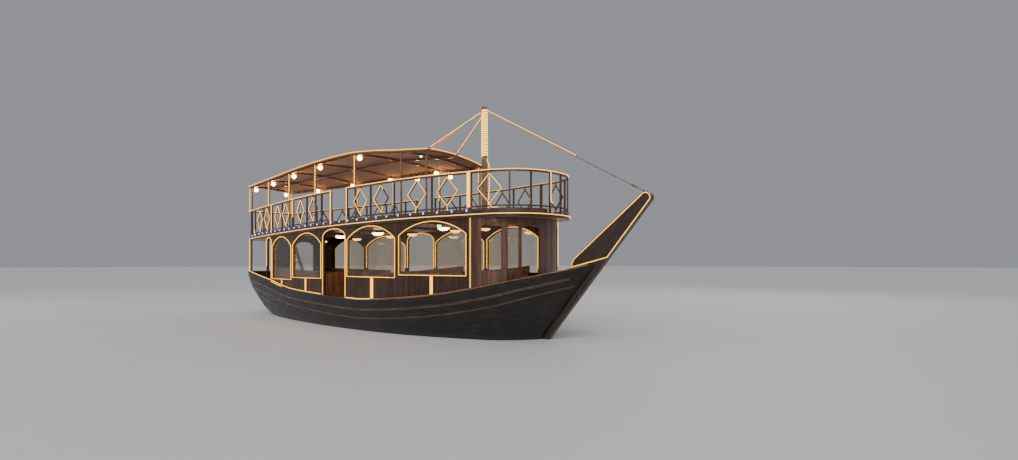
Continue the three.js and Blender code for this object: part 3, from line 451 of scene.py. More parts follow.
def makeWire():
    material, tree, shader, place = newFinish("stayWire", 0.36, 0.9)
    x, y, z = axesOf(tree, place)
    onX, onY, onZ = metals["lay"]
    lay = plus(tree, times(tree, z, onZ), times(tree, y, onY))
    strand = sineOf(tree, plus(tree, lay, times(tree, x, onX)))
    grime = noiseOf(tree, place, 6.0, 6.0)
    colour = blendOf(tree, rangeOf(tree, grime, 0.4, 0.7), *metals["stay"])
    wire(tree, shader, colour, rangeOf(tree, grime, 0.3, 0.7, 0.28, 0.52), strand, 0.0014)
    return material


def makeBlackMetal():
    material, tree, shader, place = newFinish("blackFitting", 0.45, 0.6)
    chips = noiseOf(tree, place, 26.0, 7.0, 0.7)
    colour = blendOf(tree, rangeOf(tree, chips, 0.6, 0.72), *metals["fitting"])
    wire(tree, shader, colour, rangeOf(tree, chips, 0.35, 0.7, 0.35, 0.62), chips, 0.0006)
    return material


glass = {"index": 1.45, "tint": ((0.90, 0.82, 0.70), (0.82, 0.73, 0.60))}


def makeGlass():
    material, tree, shader, place = newFinish(
        "windowGlass", 0.03, 0.0, Transmission_Weight=1.0, IOR=glass["index"])
    smear = noiseOf(tree, stretched(tree, place, (1.0, 1.0, 0.6)), 3.2, 5.0, 0.6)
    colour = blendOf(tree, rangeOf(tree, smear, 0.35, 0.75), *glass["tint"])
    wire(tree, shader, colour, rangeOf(tree, smear, 0.4, 0.8, 0.015, 0.07))
    return material


awningCloth = {
    # threads and stitches are given by how fast they repeat, the sewn widths in metres
    "thread": 1250.0, "stitch": 700.0, "width": 0.76, "seam": 0.012,
    "fresh": (0.235, 0.070, 0.017), "faded": (0.36, 0.120, 0.030), "slub": (0.45, 0.19, 0.06),
    "sewn": (0.13, 0.045, 0.018),
}


def makeCloth():
    # plain woven awning cloth in sewn widths, paler where it has weathered
    material, tree, shader, place = newFinish("awningCloth", 0.85, Sheen_Weight=0.25, Sheen_Roughness=0.5)
    x, y, z = axesOf(tree, place)
    thread = awningCloth["thread"]
    weave = times(tree, sineOf(tree, times(tree, x, thread)), sineOf(tree, times(tree, y, thread)))
    sewn = seamsOf(tree, plus(tree, x, 30.1), awningCloth["width"], awningCloth["seam"])
    stitch = rangeOf(tree, sineOf(tree, times(tree, y, awningCloth["stitch"])), 0.0, 0.6)
    fade = noiseOf(tree, place, 0.9, 6.0, 0.6)
    slub = noiseOf(tree, stretched(tree, place, (6.0, 60.0, 60.0)), 2.0, 3.0, 0.6)
    colour = blendOf(tree, rangeOf(tree, fade, 0.35, 0.7), awningCloth["fresh"], awningCloth["faded"])
    colour = blendOf(tree, rangeOf(tree, slub, 0.5, 0.75, 0.0, 0.4), colour, awningCloth["slub"])
    colour = blendOf(tree, times(tree, sewn, 0.45), colour, awningCloth["sewn"])
    height = plus(tree, times(tree, weave, 0.25), times(tree, times(tree, sewn, stitch), 1.2))
    wire(tree, shader, colour, rangeOf(tree, fade, 0.3, 0.7, 0.78, 0.95), height, 0.0009)
    return material


lacingRope = {"twist": 600.0, "clean": (0.50, 0.42, 0.30), "dirty": (0.30, 0.23, 0.15)}


def makeLacing():
    material, tree, shader, place = newFinish("laceRope", 0.82)
    x, y, z = axesOf(tree, place)
    twist = sineOf(tree, times(tree, plus(tree, x, plus(tree, y, z)), lacingRope["twist"]))
    dirt = noiseOf(tree, place, 14.0, 5.0)
    colour = blendOf(tree, rangeOf(tree, dirt, 0.35, 0.7), lacingRope["clean"], lacingRope["dirty"])
    wire(tree, shader, colour, rangeOf(tree, dirt, 0.3, 0.7, 0.7, 0.9), twist, 0.0012)
    return material


ropeLights = {
    # glow colour of the lit points and of the tube between them, strength
    "warmRope": ((1.0, 0.58, 0.07), (1.0, 0.42, 0.02), 3.0),
    "coilRope": ((1.0, 0.70, 0.14), (1.0, 0.54, 0.06), 3.2),
    "dimRope": ((0.7, 0.28, 0.06), (0.4, 0.13, 0.025), 0.12),
    "redRope": ((1.0, 0.02, 0.010), (0.9, 0.008, 0.004), 3.0),
}
ropePoints = {"spacing": 0.036, "reach": 0.014}


def makeRopeLight(name):
    bright, dim, strength = ropeLights[name]
    material, tree, shader, place = newFinish(name, 0.22, Emission_Strength=strength, Coat_Weight=0.3)
    along = axesOf(tree, addTo(tree, "TexCoord").outputs["UV"])[0]
    away = mathOf(tree, "PINGPONG", along, ropePoints["spacing"] / 2)
    point = rangeOf(tree, away, 0.0, ropePoints["reach"], 1.0, 0.0)
    tree.links.new(blendOf(tree, point, dim, bright), shader.inputs["Emission Color"])
    # unlit, the tube is milky with a little of its glow's colour
    wire(tree, shader, blendOf(tree, point, [0.3 * c + 0.01 for c in dim], [0.4 * c + 0.01 for c in bright]))
    return material


lampGlasses = {
    # glow colour at the middle and at the rim, strength
    "globeGlass": ((1.0, 0.62, 0.22), (1.0, 0.46, 0.10), 36.0),
    "whiteLens": ((1.0, 0.76, 0.42), (1.0, 0.58, 0.20), 16.0),
    "amberLens": ((1.0, 0.46, 0.06), (0.9, 0.28, 0.02), 4.5),
    "greenLens": ((0.10, 1.0, 0.32), (0.02, 0.5, 0.14), 7.0),
    "blueLed": ((0.06, 0.07, 1.0), (0.02, 0.02, 1.0), 7.0),
}


def makeLampGlass(name):
    # a frosted lamp glass, a little darker to its rim
    colour, edge, strength = lampGlasses[name]
    material, tree, shader, place = newFinish(name, 0.3, Emission_Strength=strength)
    rim = addTo(tree, "LayerWeight", {"Blend": 0.35}).outputs["Facing"]
    frost = noiseOf(tree, place, 60.0, 3.0)
    glow = blendOf(tree, rangeOf(tree, rim, 0.1, 0.95), colour, edge)
    tree.links.new(glow, shader.inputs["Emission Color"])
    wire(tree, shader, blendOf(tree, frost, (0.85, 0.83, 0.78), (0.95, 0.93, 0.88)), None, frost, 0.0005)
    return material


finishes = {
    "hull": makeHullFinish(), "upperDeck": makeUpperDeckFinish(), "bottom": makeKeelFinish(),
    "stem": makeStemFinish(), "bronze": makeBronze(), "stay": makeWire(), "glass": makeGlass(),
    "cloth": makeCloth(), "lace": makeLacing(), "fitting": makeBlackMetal(),
}
finishes.update({name: makeTimber(name) for name in timbers})
finishes.update({name: makeBoardWall(name) for name in boardWalls})
finishes.update({name: makeRopeLight(name) for name in ropeLights})
finishes.update({name: makeLampGlass(name) for name in lampGlasses})
nodeFinishes = {
    # a node takes the finish of the longest of these that its name starts with
    "hull": "hull", "keel": "bottom", "stem": "stem", "rudder": "bottom", "propeller": "bronze",
    "upper_deck": "upperDeck", "wall_": "wallTimber", "wall_front": "frontTimber", "door_": "doorTimber",
    "glass_": "glass", "stair": "teakAcross", "stern_post": "teakUpright", "rail_": "railTimber",
    "canopy_frame": "teakAlong", "mast": "teakUpright", "stay_": "stay", "forestay": "stay",
    "bench_": "teakAlong", "table_": "teakAcross",
}


def dressNodes():
    for name, node in nodes.items():
        fitting = [key for key in nodeFinishes if name.startswith(key)]
        if fitting:
            node.data.materials.clear()
            node.data.materials.append(finishes[nodeFinishes[max(fitting, key=len)]])


dressNodes()
print("the frame's own parts have their finishes")

# the boat's lines, in metres, as in the part

planTable = [
    (-8.8, 0.95), (-7.1, 1.25), (-5.1, 1.55), (-3.1, 1.79), (-1.1, 1.93), (0.4, 1.975), (1.56, 1.976),
    (2.9, 1.857), (4.1, 1.66), (4.5, 1.614), (4.82, 1.557), (5.09, 1.467), (5.33, 1.344), (5.54, 1.191),
    (5.7, 1.007), (5.83, 0.793), (5.92, 0.547), (5.97, 0.26),
]
hullRail = [
    (-8.8, 1.735), (-8.0, 1.632), (-7.4, 1.556), (-6.8, 1.48), (-6.2, 1.408), (-5.65, 1.315), (-5.1, 1.228),
    (-4.5, 1.152), (-3.9, 1.106), (-2.6, 1.044), (-1.3, 0.98), (0.0, 0.95), (1.0, 0.99), (2.0, 1.065),
    (3.0, 1.165), (3.8, 1.28), (4.4, 1.385), (4.8, 1.465), (5.15, 1.54), (5.53, 1.625), (5.9, 1.705),
    (6.25, 1.79), (6.6, 1.87), (6.9, 1.96), (7.24, 2.075),
]
canopyTable = [
    # place, half-breadth, starboard eave, how much lower the port eave hangs
    (-9.0, 0.93, 5.247, 0.12), (-7.9, 1.11, 5.288, 0.12), (-6.8, 1.29, 5.322, 0.12),
    (-5.7, 1.465, 5.362, 0.12), (-4.8, 1.59, 5.412, 0.12), (-3.8, 1.715, 5.454, 0.13),
    (-2.85, 1.812, 5.496, 0.13), (-1.6, 1.9, 5.531, 0.12), (-0.45, 1.95, 5.544, 0.12),
    (0.4, 1.87, 5.508, 0.14), (1.4, 1.6, 5.456, 0.18), (2.18, 1.2, 5.462, 0.22),
]
canopyCamber = 0.09
canopyPosts = [-8.84, -6.9, -4.9, -2.85, -0.45, 1.4, 2.11]
deck = {
    # where it ends, its side's last straight station and the stations of its round front
    "aft": -8.8, "sideEnd": 4.1, "tip": 5.97, "boards": 0.041,
    "front": [
        4.3, 4.5, 4.66, 4.82, 4.96, 5.09, 5.21, 5.33, 5.44, 5.54, 5.62, 5.7, 5.77, 5.83, 5.88, 5.92, 5.95,
    ],
}
bays = {
    # from, to, opening from, opening to, sill, spring, top; a doorway has no sill
    "arch": (-6.9, -6.3, -6.8, -6.36, None, 2.86, 3.045),
    "window_1": (-6.3, -4.44, -6.235, -4.535, 1.51, 2.68, 3.035),
    "window_2": (-4.44, -2.22, -4.345, -2.301, 1.59, 2.725, 3.098),
    "door": (-2.22, -0.755, -2.138, -0.824, None, 2.88, 3.17),
    "window_3": (-0.755, 1.72, -0.683, 1.617, 1.68, 2.808, 3.188),
    "window_4": (1.72, 4.25, 1.825, 4.169, 1.763, 2.868, 3.228),
}
mast = {"x": 3.37, "radius": 0.088, "foot": 3.4, "taper": 0.016 / 3.3}
stays = {
    # mast end and deck or canopy end; the side stay is the starboard one
    "side": ((3.30, -0.095, 6.54), (2.255, -1.14, 5.495)),
    "middle": ((3.27, 0, 6.46), (2.25, 0, 5.49)),
    "fore": ((3.49, 0, 6.587), (8.54, 0, 3.861)),
}


def smooth(points, x):
    last = len(points) - 1
    if x <= points[0][0]:
        return points[0][1]
    if x >= points[last][0]:
        return points[last][1]
    i = next(k for k, p in enumerate(points) if p[0] > x) - 1

    def slope(k):
        a, b = points[max(k - 1, 0)], points[min(k + 1, last)]
        return (b[1] - a[1]) / (b[0] - a[0])

    (x0, y0), (x1, y1) = points[i], points[i + 1]
    h = x1 - x0
    t = (x - x0) / h
    return (y0 * (1 + 2 * t) * (1 - t) ** 2 + y1 * t * t * (3 - 2 * t)
            + slope(i) * h * t * (1 - t) ** 2 - slope(i + 1) * h * t * t * (1 - t))


def straight(points, x):
    above = next((k for k, p in enumerate(points) if p[0] > x), len(points) - 1)
    i = max(above, 1)
    (x0, y0), (x1, y1) = points[i - 1], points[i]
    return y0 + (y1 - y0) * (x - x0) / (x1 - x0)


def plan(x):
    return smooth(planTable, x)


def railAt(x):
    return straight(hullRail, x)


def canopyHalf(x):
    return straight([row[:2] for row in canopyTable], x)


def canopyUnder(x, y):
    # underside of the canopy, which leans a little to port
    half = canopyHalf(x)
    eave = straight([(row[0], row[2]) for row in canopyTable], x)
    lean = straight([(row[0], row[3]) for row in canopyTable], x)
    return eave - lean * (1 + y / half) / 2 + canopyCamber * (1 - (y / half) ** 2)


def postSpot(x):
    # the posts stand closer to the edge where the canopy narrows
    return canopyHalf(x) - (0.11 if x < 0.4 else 0.06)


def upperDeck(x):
    u = x + 9.1
    return 3.068 + 0.0392 * u - 0.00118 * u * u


def mastRadius(z):
    return mast["radius"] - mast["taper"] * (z - mast["foot"])


def sideNormal(x):
    # outward direction on the starboard side
    d = (plan(x + 0.02) - plan(x - 0.02)) / 0.04
    return Vector((-d, -1.0, 0.0)).normalized()


def onSide(x, out, z):
    # a point beside the cabin's plan line on the starboard side
    n = sideNormal(x)
    return (x + n.x * out, -plan(x) + n.y * out, z)


def steps(start, end, pitch):
    count = max(round(abs(end - start) / pitch), 1)
    return [start + (end - start) * i / count for i in range(count + 1)]


def openingOf(name):
    # a bay's own axes, and its opening's edges measured along it from the bay's corner
    start, end, left, right, sill, spring, top = bays[name]
    corner = Vector((start, -plan(start), 0))
    wall = Vector((end, -plan(end), 0)) - corner
    along = wall.normalized()
    scale = wall.length / (end - start)
    return {
        "corner": corner, "along": along, "out": Vector((along.y, -along.x, 0)),
        "start": start, "scale": scale,
        "left": (left - start) * scale, "right": (right - start) * scale,
        "sill": sill, "spring": spring, "top": top,
    }


def wallPoint(opening, s, out, z):
    return opening["corner"] + opening["along"] * s + opening["out"] * out + Vector((0, 0, z))


def archLine(opening, grow):
    # over the opening from its fore spring to its aft one, grown outward; doorways are rounder
    bare = (opening["right"] - opening["left"]) / 2
    middle = (opening["left"] + opening["right"]) / 2
    rise = opening["top"] - opening["spring"]
    radius = (bare * bare + rise * rise) / (2 * rise)
    points = []
    for k in range(25):
        if opening["sill"] is None:
            angle = math.pi * k / 24
            across, up = (bare + grow) * math.cos(angle), (rise + grow) * math.sin(angle) ** 0.8
            points.append((middle + across, opening["spring"] + up))
        else:
            angle = math.asin((bare + grow) / (radius + grow)) * (1 - k / 12)
            across, up = (radius + grow) * math.sin(angle), (radius + grow) * math.cos(angle)
            points.append((middle + across, opening["top"] - radius + up))
    return points


# mesh helpers: each piece is gathered as points and faces, then made into an object


def newShape():
    return {"points": [], "faces": [], "along": []}


def addRingFaces(shape, base, size, rings, closed):
    # faces between rings of points that are already in, with a cap on each open end
    for i in range(rings if closed else rings - 1):
        near, far = base + i * size, base + ((i + 1) % rings) * size
        for k in range(size):
            j = (k + 1) % size
            shape["faces"].append((near + k, near + j, far + j, far + k))
    if not closed:
        shape["faces"].append(tuple(base + k for k in reversed(range(size))))
        shape["faces"].append(tuple(base + (rings - 1) * size + k for k in range(size)))


def addTube(shape, path, radius, sides=8, closed=False):
    path = [Vector(p) for p in path]
    path = [p for i, p in enumerate(path) if i == 0 or (p - path[i - 1]).length > 1e-4]
    count = len(path)
    base = len(shape["points"])
    run = 0.0
    across = None
    for i, p in enumerate(path):
        if closed:
            along = (path[(i + 1) % count] - path[i - 1]).normalized()
        else:
            along = (path[min(i + 1, count - 1)] - path[max(i - 1, 0)]).normalized()
        if across is None:
            across = along.orthogonal()
        across = (across - along * across.dot(along)).normalized()
        over = along.cross(across)
        if i:
            run += (p - path[i - 1]).length
        for k in range(sides):
            angle = 2 * math.pi * k / sides
            shape["points"].append(p + (across * math.cos(angle) + over * math.sin(angle)) * radius)
            shape["along"].append(run)
    addRingFaces(shape, base, sides, count, closed)


def addSweep(shape, rings, closed=False):
    # rings of points joined in turn, capped at both ends unless closed
    base = len(shape["points"])
    for ring in rings:
        shape["points"].extend(Vector(p) for p in ring)
        shape["along"].extend([0.0] * len(ring))
    addRingFaces(shape, base, len(rings[0]), len(rings), closed)


def addTurned(shape, profile, centre, axis=(0, 0, 1), sides=20):
    # a turned form: profile rows are (distance along the axis, radius)
    axis = Vector(axis).normalized()
    across = axis.orthogonal().normalized()
    over = axis.cross(across)
    rings = []
    for along, radius in profile:
        middle = Vector(centre) + axis * along
        angles = [2 * math.pi * k / sides for k in range(sides)]
        rings.append([middle + (across * math.cos(a) + over * math.sin(a)) * radius for a in angles])
    addSweep(shape, rings)


def addBlock(shape, centre, size, axes=None, bevel=0.004):
    # a block with its long edges eased
    ax, ay, az = axes or (Vector((1, 0, 0)), Vector((0, 1, 0)), Vector((0, 0, 1)))
    hx, hy, hz = (s / 2 for s in size)
    e = min(bevel, hx * 0.4, hy * 0.4, hz * 0.4)
    outline = [(hx - e, hy), (hx, hy - e), (hx, -hy + e), (hx - e, -hy),
               (-hx + e, -hy), (-hx, -hy + e), (-hx, hy - e), (-hx + e, hy)]
    rings = []
    for z, inset in ((-hz, e), (-hz + e, 0), (hz - e, 0), (hz, e)):
        ring = []
        for x, y in outline:
            x = x - math.copysign(inset, x)
            y = y - math.copysign(inset, y)
            ring.append(Vector(centre) + ax * x + ay * y + az * z)
        rings.append(ring)
    addSweep(shape, rings)


def reflected(shape):
    return {
        "points": [Vector((p.x, -p.y, p.z)) for p in shape["points"]],
        "faces": [tuple(reversed(face)) for face in shape["faces"]],
        "along": list(shape["along"]),
    }


def mirrored(shape):
    # the shape and its reflection as one
    base = len(shape["points"])
    other = reflected(shape)
    shape["points"].extend(other["points"])
    shape["along"].extend(other["along"])
    shape["faces"].extend(tuple(base + k for k in face) for face in other["faces"])


def makePiece(name, shape, finish, body="boat"):
    mesh = bpy.data.meshes.new(name)
    mesh.from_pydata([tuple(p) for p in shape["points"]], [], shape["faces"])
    chart = mesh.uv_layers.new(name="length")
    for loop in mesh.loops:
        chart.data[loop.index].uv = (shape["along"][loop.vertex_index], 0.5)
    mesh.polygons.foreach_set("use_smooth", [True] * len(mesh.polygons))
    mesh.set_sharp_from_angle(angle=math.radians(38))
    mesh.materials.append(finishes[finish])
    piece = bpy.data.objects.new(name, mesh)
    bpy.context.scene.collection.objects.link(piece)
    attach(piece, body)
    return piece


# floor at the waterline


def makeFloor():
    mesh = bpy.data.meshes.new("floor")
    reach = studio["floorReach"]
    corners = [(-reach, -reach, 0), (reach, -reach, 0), (reach, reach, 0), (-reach, reach, 0)]
    mesh.from_pydata(corners, [], [(0, 1, 2, 3)])
    material, tree, shader, place = newFinish("floorPlain", 0.6)
    cloud = noiseOf(tree, place, 0.35, 3.0)
    tone = studio["floor"]
    wire(tree, shader, blendOf(tree, cloud, tone, [c * 0.95 for c in tone]))
    mesh.materials.append(material)
    floor = bpy.data.objects.new("floor", mesh)
    bpy.context.scene.collection.objects.link(floor)


makeFloor()
print("floor lies at the waterline")

# canopy cloth, stretched over its ribs and sagging a little between them

awning = {
    "from": -8.965, "to": 2.17, "lift": 0.02, "sag": 0.026, "hem": 0.075, "hemOut": 0.006, "thickness": 0.004,
    "step": 0.1, "across": 44,
}


def awningHeight(x, y):
    sag = 0.0
    inset = postSpot(x)
    for a, b in zip(canopyPosts, canopyPosts[1:]):
        if a < x < b and abs(y) < inset:
            sag = awning["sag"] * math.sin(math.pi * (x - a) / (b - a)) * math.sin(math.pi * abs(y) / inset)
    return canopyUnder(x, y) + awning["lift"] - sag


def awningRow(x):
    # across the cloth, from the starboard hem to the port one
    half = canopyHalf(x) + 0.003
    hem = awning["hem"]
    count = awning["across"]
    row = [(x, y, awningHeight(x, y)) for y in (-half + 2 * half * k / count for k in range(count + 1))]
    starboard = [(x, -half, awningHeight(x, -half) - hem), (x, -half - 0.002, awningHeight(x, -half) - 0.02)]
    port = [(x, half + 0.002, awningHeight(x, half) - 0.02), (x, half, awningHeight(x, half) - hem)]
    return starboard + row + port


def awningEnd(row, out):
    # the hem that hangs at the cloth's fore or aft end
    inner = range(2, len(row) - 2)
    return [(x + out, y, z - (awning["hem"] if k in inner else 0)) for k, (x, y, z) in enumerate(row)]


def makeAwning():
    rows = [awningRow(x) for x in steps(awning["from"], awning["to"], awning["step"])]
    rows = [awningEnd(rows[0], -awning["hemOut"])] + rows + [awningEnd(rows[-1], awning["hemOut"])]
    shape = newShape()
    width = len(rows[0])
    for row in rows:
        shape["points"].extend(Vector(p) for p in row)
        shape["along"].extend([0.0] * width)
    for i in range(len(rows) - 1):
        for k in range(width - 1):
            a = i * width + k
            shape["faces"].append((a, a + width, a + width + 1, a + 1))
    cloth = makePiece("canopy_cloth", shape, "cloth")
    solid = cloth.modifiers.new("thickness", "SOLIDIFY")
    solid.thickness = awning["thickness"]
    solid.offset = 0
    bpy.context.view_layer.objects.active = cloth
    bpy.ops.object.modifier_apply(modifier=solid.name)
    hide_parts("canopy")


makeAwning()

# lacing that ties the cloth to the eave beams

lacing = {
    "from": -8.7, "to": 2.0, "radius": 0.005, "pitch": 0.24, "loop": 0.036, "lean": 0.012, "below": 0.04,
    "sides": 5,
}


def makeLacings():
    shape = newShape()
    loop = lacing["loop"]
    for x in steps(lacing["from"], lacing["to"], lacing["pitch"]):
        for sign in (-1, 1):
            y = postSpot(x)
            level = canopyUnder(x, sign * y)
            ring = []
            for k in range(13):
                angle = 2 * math.pi * k / 12
                across = sign * (y + loop * math.cos(angle))
                height = level - lacing["below"] + loop * math.sin(angle)
                ring.append((x + lacing["lean"] * math.sin(angle), across, height))
            addTube(shape, ring, lacing["radius"], lacing["sides"])
            edge = sign * (canopyHalf(x) - 0.012)
            tie = [(x, sign * (y + loop), level - 0.03), (x, edge, canopyUnder(x, edge) - 0.03)]
            addTube(shape, tie, lacing["radius"], lacing["sides"])
    makePiece("canopy_lacing", shape, "lace")


makeLacings()
print("canopy is on")

# rope lights

rope = {
    "radius": 0.0105, "fine": 0.009, "pitch": 0.2,
    # how far it lies outside the canopy, the deck's edge, the railing and the cabin's wall, and
    # how far beyond an opening's edge
    "onCanopy": 0.018, "onDeck": 0.053, "onRail": 0.004, "onWall": 0.028, "roundOpening": 0.023,
}


def upright(x, y, low, high, pitch=None):
    return [(x, y, z) for z in steps(low, high, pitch or rope["pitch"])]


def addRopes(shape, paths, radius=None):
    for path in paths:
        addTube(shape, path, radius or rope["radius"])


def bothRopes(name, paths, finish="warmRope"):
    shape = newShape()
    addRopes(shape, paths)
    mirrored(shape)
    makePiece(name, shape, finish)


def roundPath(start, out, level):
    # along the side from start and round the front to the centreline
    side = steps(start, deck["sideEnd"], 0.25) + deck["front"]
    tip = deck["tip"] + out
    height = level(deck["tip"])
    return [onSide(x, out, level(x)) for x in side] + [(tip, -0.2, height), (tip + 0.005, 0.0, height)]


canopyRopes = {
    # along each side: from, to, pitch
    "run": (-8.96, 2.18, 0.25), "up": 0.012, "underEave": 0.07,
    # across the fore and the aft edge: where it lies, and which width it takes
    "ends": [(2.195, 2.18), (-8.988, -8.96)], "endPitch": 0.15,
    # beside a post, and how far above the deck it ends on posts lit on either side
    "beside": 0.04, "foot": {"inside": 1.02, "outside": 1.17},
    # the aftmost hangs from the canopy's corner, just outside its post
    "corner": (0.045, 0.02),
    # the foremost port post is lit at its top only
    "foremost": (0.02, 0.5),
}


def makeCanopyRopes():
    shape = newShape()
    row = canopyRopes
    out = rope["onCanopy"]
    for sign in (-1, 1):
        edge = []
        for x in steps(*row["run"]):
            half = canopyHalf(x)
            edge.append((x, sign * (half + out), canopyUnder(x, sign * half) + row["up"]))
        addTube(shape, edge, rope["radius"])
        for x in canopyPosts[:5]:
            # two of the port posts are lit on their inner side
            side = "inside" if sign > 0 and x > -3 else "outside"
            place, y = x, postSpot(x) + (-row["beside"] if side == "inside" else row["beside"])
            if x == canopyPosts[0]:
                place, y = x - row["corner"][0], canopyHalf(x) - row["corner"][1]
            low, high = upperDeck(x) + row["foot"][side], canopyUnder(x, sign * y) - row["underEave"]
            addTube(shape, upright(place, sign * y, low, high), rope["radius"])
    aside, length = row["foremost"]
    x = canopyPosts[-1]
    y = postSpot(x) - row["beside"]
    top = canopyUnder(x, y) - row["underEave"]
    addTube(shape, upright(x - aside, y, top - length, top), rope["radius"])
    for x, place in row["ends"]:
        half = canopyHalf(place) + out
        across = [(x, y, canopyUnder(place, y) + row["up"]) for y in steps(-half, half, row["endPitch"])]
        addTube(shape, across, rope["radius"])
    makePiece("rope_lights_canopy", shape, "warmRope")


railing = {
    "top": 1.158, "aft": (-8.96, -1.69, 0.35), "fore": -0.78, "stern": (-8.784, 0.92, -8.75),
    "uprights": [
        # place, lower and upper end above the deck; two ropes lie side by side at the gate
        (-8.27, 0.06, 0.34), (-6.38, 0.06, 1.15), (-4.41, 0.5, 1.15), (-1.712, 0.05, 1.15),
        (-1.69, 0.05, 1.15), (-0.765, 0.05, 1.15),
    ],
    # five ropes lie side by side here
    "bundle": (4.258, 0.021, 0.2, 1.15),
    # the rope that drops at the round front: place, upper and lower end above the deck
    "drop": (5.976, -0.25, 1.15, 0.36),
    "dropEnd": [(5.98, -0.235, 0.325), (5.985, -0.2, 0.315), (5.985, -0.165, 0.33)],
}


def makeRailRopes():
    def top(x):
        return upperDeck(x) + railing["top"]

    aft = [onSide(x, rope["onRail"], top(x)) for x in steps(*railing["aft"])]
    x, half, place = railing["stern"]
    stern = [(x, -y, top(place)) for y in steps(half, 0.0, 0.2)]
    bothRopes("rope_lights_rail", [aft, roundPath(railing["fore"], rope["onRail"], top), stern])
    paths = []
    for x, low, high in railing["uprights"]:
        rise = steps(upperDeck(x) + low, upperDeck(x) + high, rope["pitch"])
        paths.append([onSide(x, 0.006, z) for z in rise])
    x, apart, low, high = railing["bundle"]
    for shift in (-2 * apart, -apart, 0.0, apart, 2 * apart):
        rise = steps(upperDeck(x) + low, upperDeck(x) + high, rope["pitch"])
        paths.append([onSide(x + shift, 0.008, z) for z in rise])
    uprights = newShape()
    addRopes(uprights, paths)
    # those on the port side are out
    makePiece("rope_lights_posts_port", reflected(uprights), "dimRope")
    level = upperDeck(5.95)
    x, y, high, low = railing["drop"]
    drop = upright(x, y, level + high, level + low, 0.1)
    drop += [(x, y, level + z) for x, y, z in railing["dropEnd"]]
    addTube(uprights, drop, rope["radius"])
    makePiece("rope_lights_posts_starboard", uprights, "warmRope")


diamonds = {
    "places": [-7.66, -6.88, -5.78, -5.04, -3.8, -0.035, 2.483, 3.552, 4.903],
    # these are lit on their aft half only
    "broken": [-2.88, 0.984],
    # foot and top above the deck, half a diamond's length aft and fore of the gate
    "foot": 0.28, "top": 1.06, "half": (0.30, 0.345), "gate": -1,
    # how far the ropes lie inside the railing's line
    "inside": 0.006,
    # loose ends under the diamonds: along the rail and up from the foot
    "tail": [(0.05, -0.07)],
    "tails": {
        2.483: [(-0.05, -0.1), (-0.14, -0.2)],
        3.552: [(0.01, -0.1), (0.02, -0.15)],
        4.903: [(0.04, -0.09), (0.13, -0.115), (0.25, -0.11)],
    },
}


def diamondCorners(x):
    low, high = diamonds["foot"], diamonds["top"]
    half = diamonds["half"][0 if x < diamonds["gate"] else 1]
    n = sideNormal(x)
    t = Vector((-n.y, n.x, 0))
    base = Vector((x, -plan(x), upperDeck(x))) - n * diamonds["inside"]
    middle = base + Vector((0, 0, (low + high) / 2))
    return base + Vector((0, 0, low)), middle - t * half, base + Vector((0, 0, high)), middle + t * half, t


def makeDiamondRopes():
    shape = newShape()
    for x in diamonds["places"]:
        foot, aft, top, fore, t = diamondCorners(x)
        ring = []
        for a, b in ((foot, aft), (aft, top), (top, fore), (fore, foot)):
            ring += [a.lerp(b, s) for s in (0.03, 0.5, 0.97)]
        tail = [foot + t * s + Vector((0, 0, z)) for s, z in diamonds["tails"].get(x, diamonds["tail"])]
        addTube(shape, ring + [ring[0]] + tail, rope["fine"])
    for x in diamonds["broken"]:
        foot, aft, top, fore, t = diamondCorners(x)
        line = [top.lerp(fore, 0.3), top.lerp(fore, 0.04), top.lerp(aft, 0.04), top.lerp(aft, 0.5)]
        line += [top.lerp(aft, 0.97), aft.lerp(foot, 0.03), aft.lerp(foot, 0.5), aft.lerp(foot, 0.97)]
        addTube(shape, line + [foot + Vector((0, 0, -0.04)) + t * 0.07], rope["fine"])
        addTube(shape, [foot.lerp(fore, s) for s in (0.06, 0.2, 0.34)], rope["fine"])
    makePiece("rope_lights_diamonds_starboard", shape, "warmRope")
    makePiece("rope_lights_diamonds_port", reflected(shape), "dimRope")


cabinRopes = {
    # the strips under the sills: place and how many ropes lie side by side
    "pilasters": {
        "window_1": (-5.336, 2), "window_2": (-3.375, 3), "window_3": (0.561, 5), "window_4": (3.007, 4),
    },
    "apart": 0.026, "archFoot": 1.96,
    # clearances: doorway's foot and strips' foot over the rail, strips' top under the sill
    "doorFoot": 0.05, "stripFoot": 0.045, "underSill": 0.05,
    # the upright at the cabin's fore corner: place, out, over the rail, under the deck
    "corner": (4.32, 0.014, 0.05, 0.09),
    # the one between two port windows of the set-back front: place, half-breadth, foot, under the deck
    "front": (5.1765, 1.2275, 1.99, 0.085),
    # from the deck's aft corner down to the bulwark's: place, out, station, over the rail, under the deck
    "stern": (-8.795, 0.045, -8.79, 0.036, 0.012),
    # the port openings are outlined on the inside too
    "inside": ("window_2", "door", "window_3", "window_4"), "insideFoot": 1.9, "insideOut": -0.078,
}


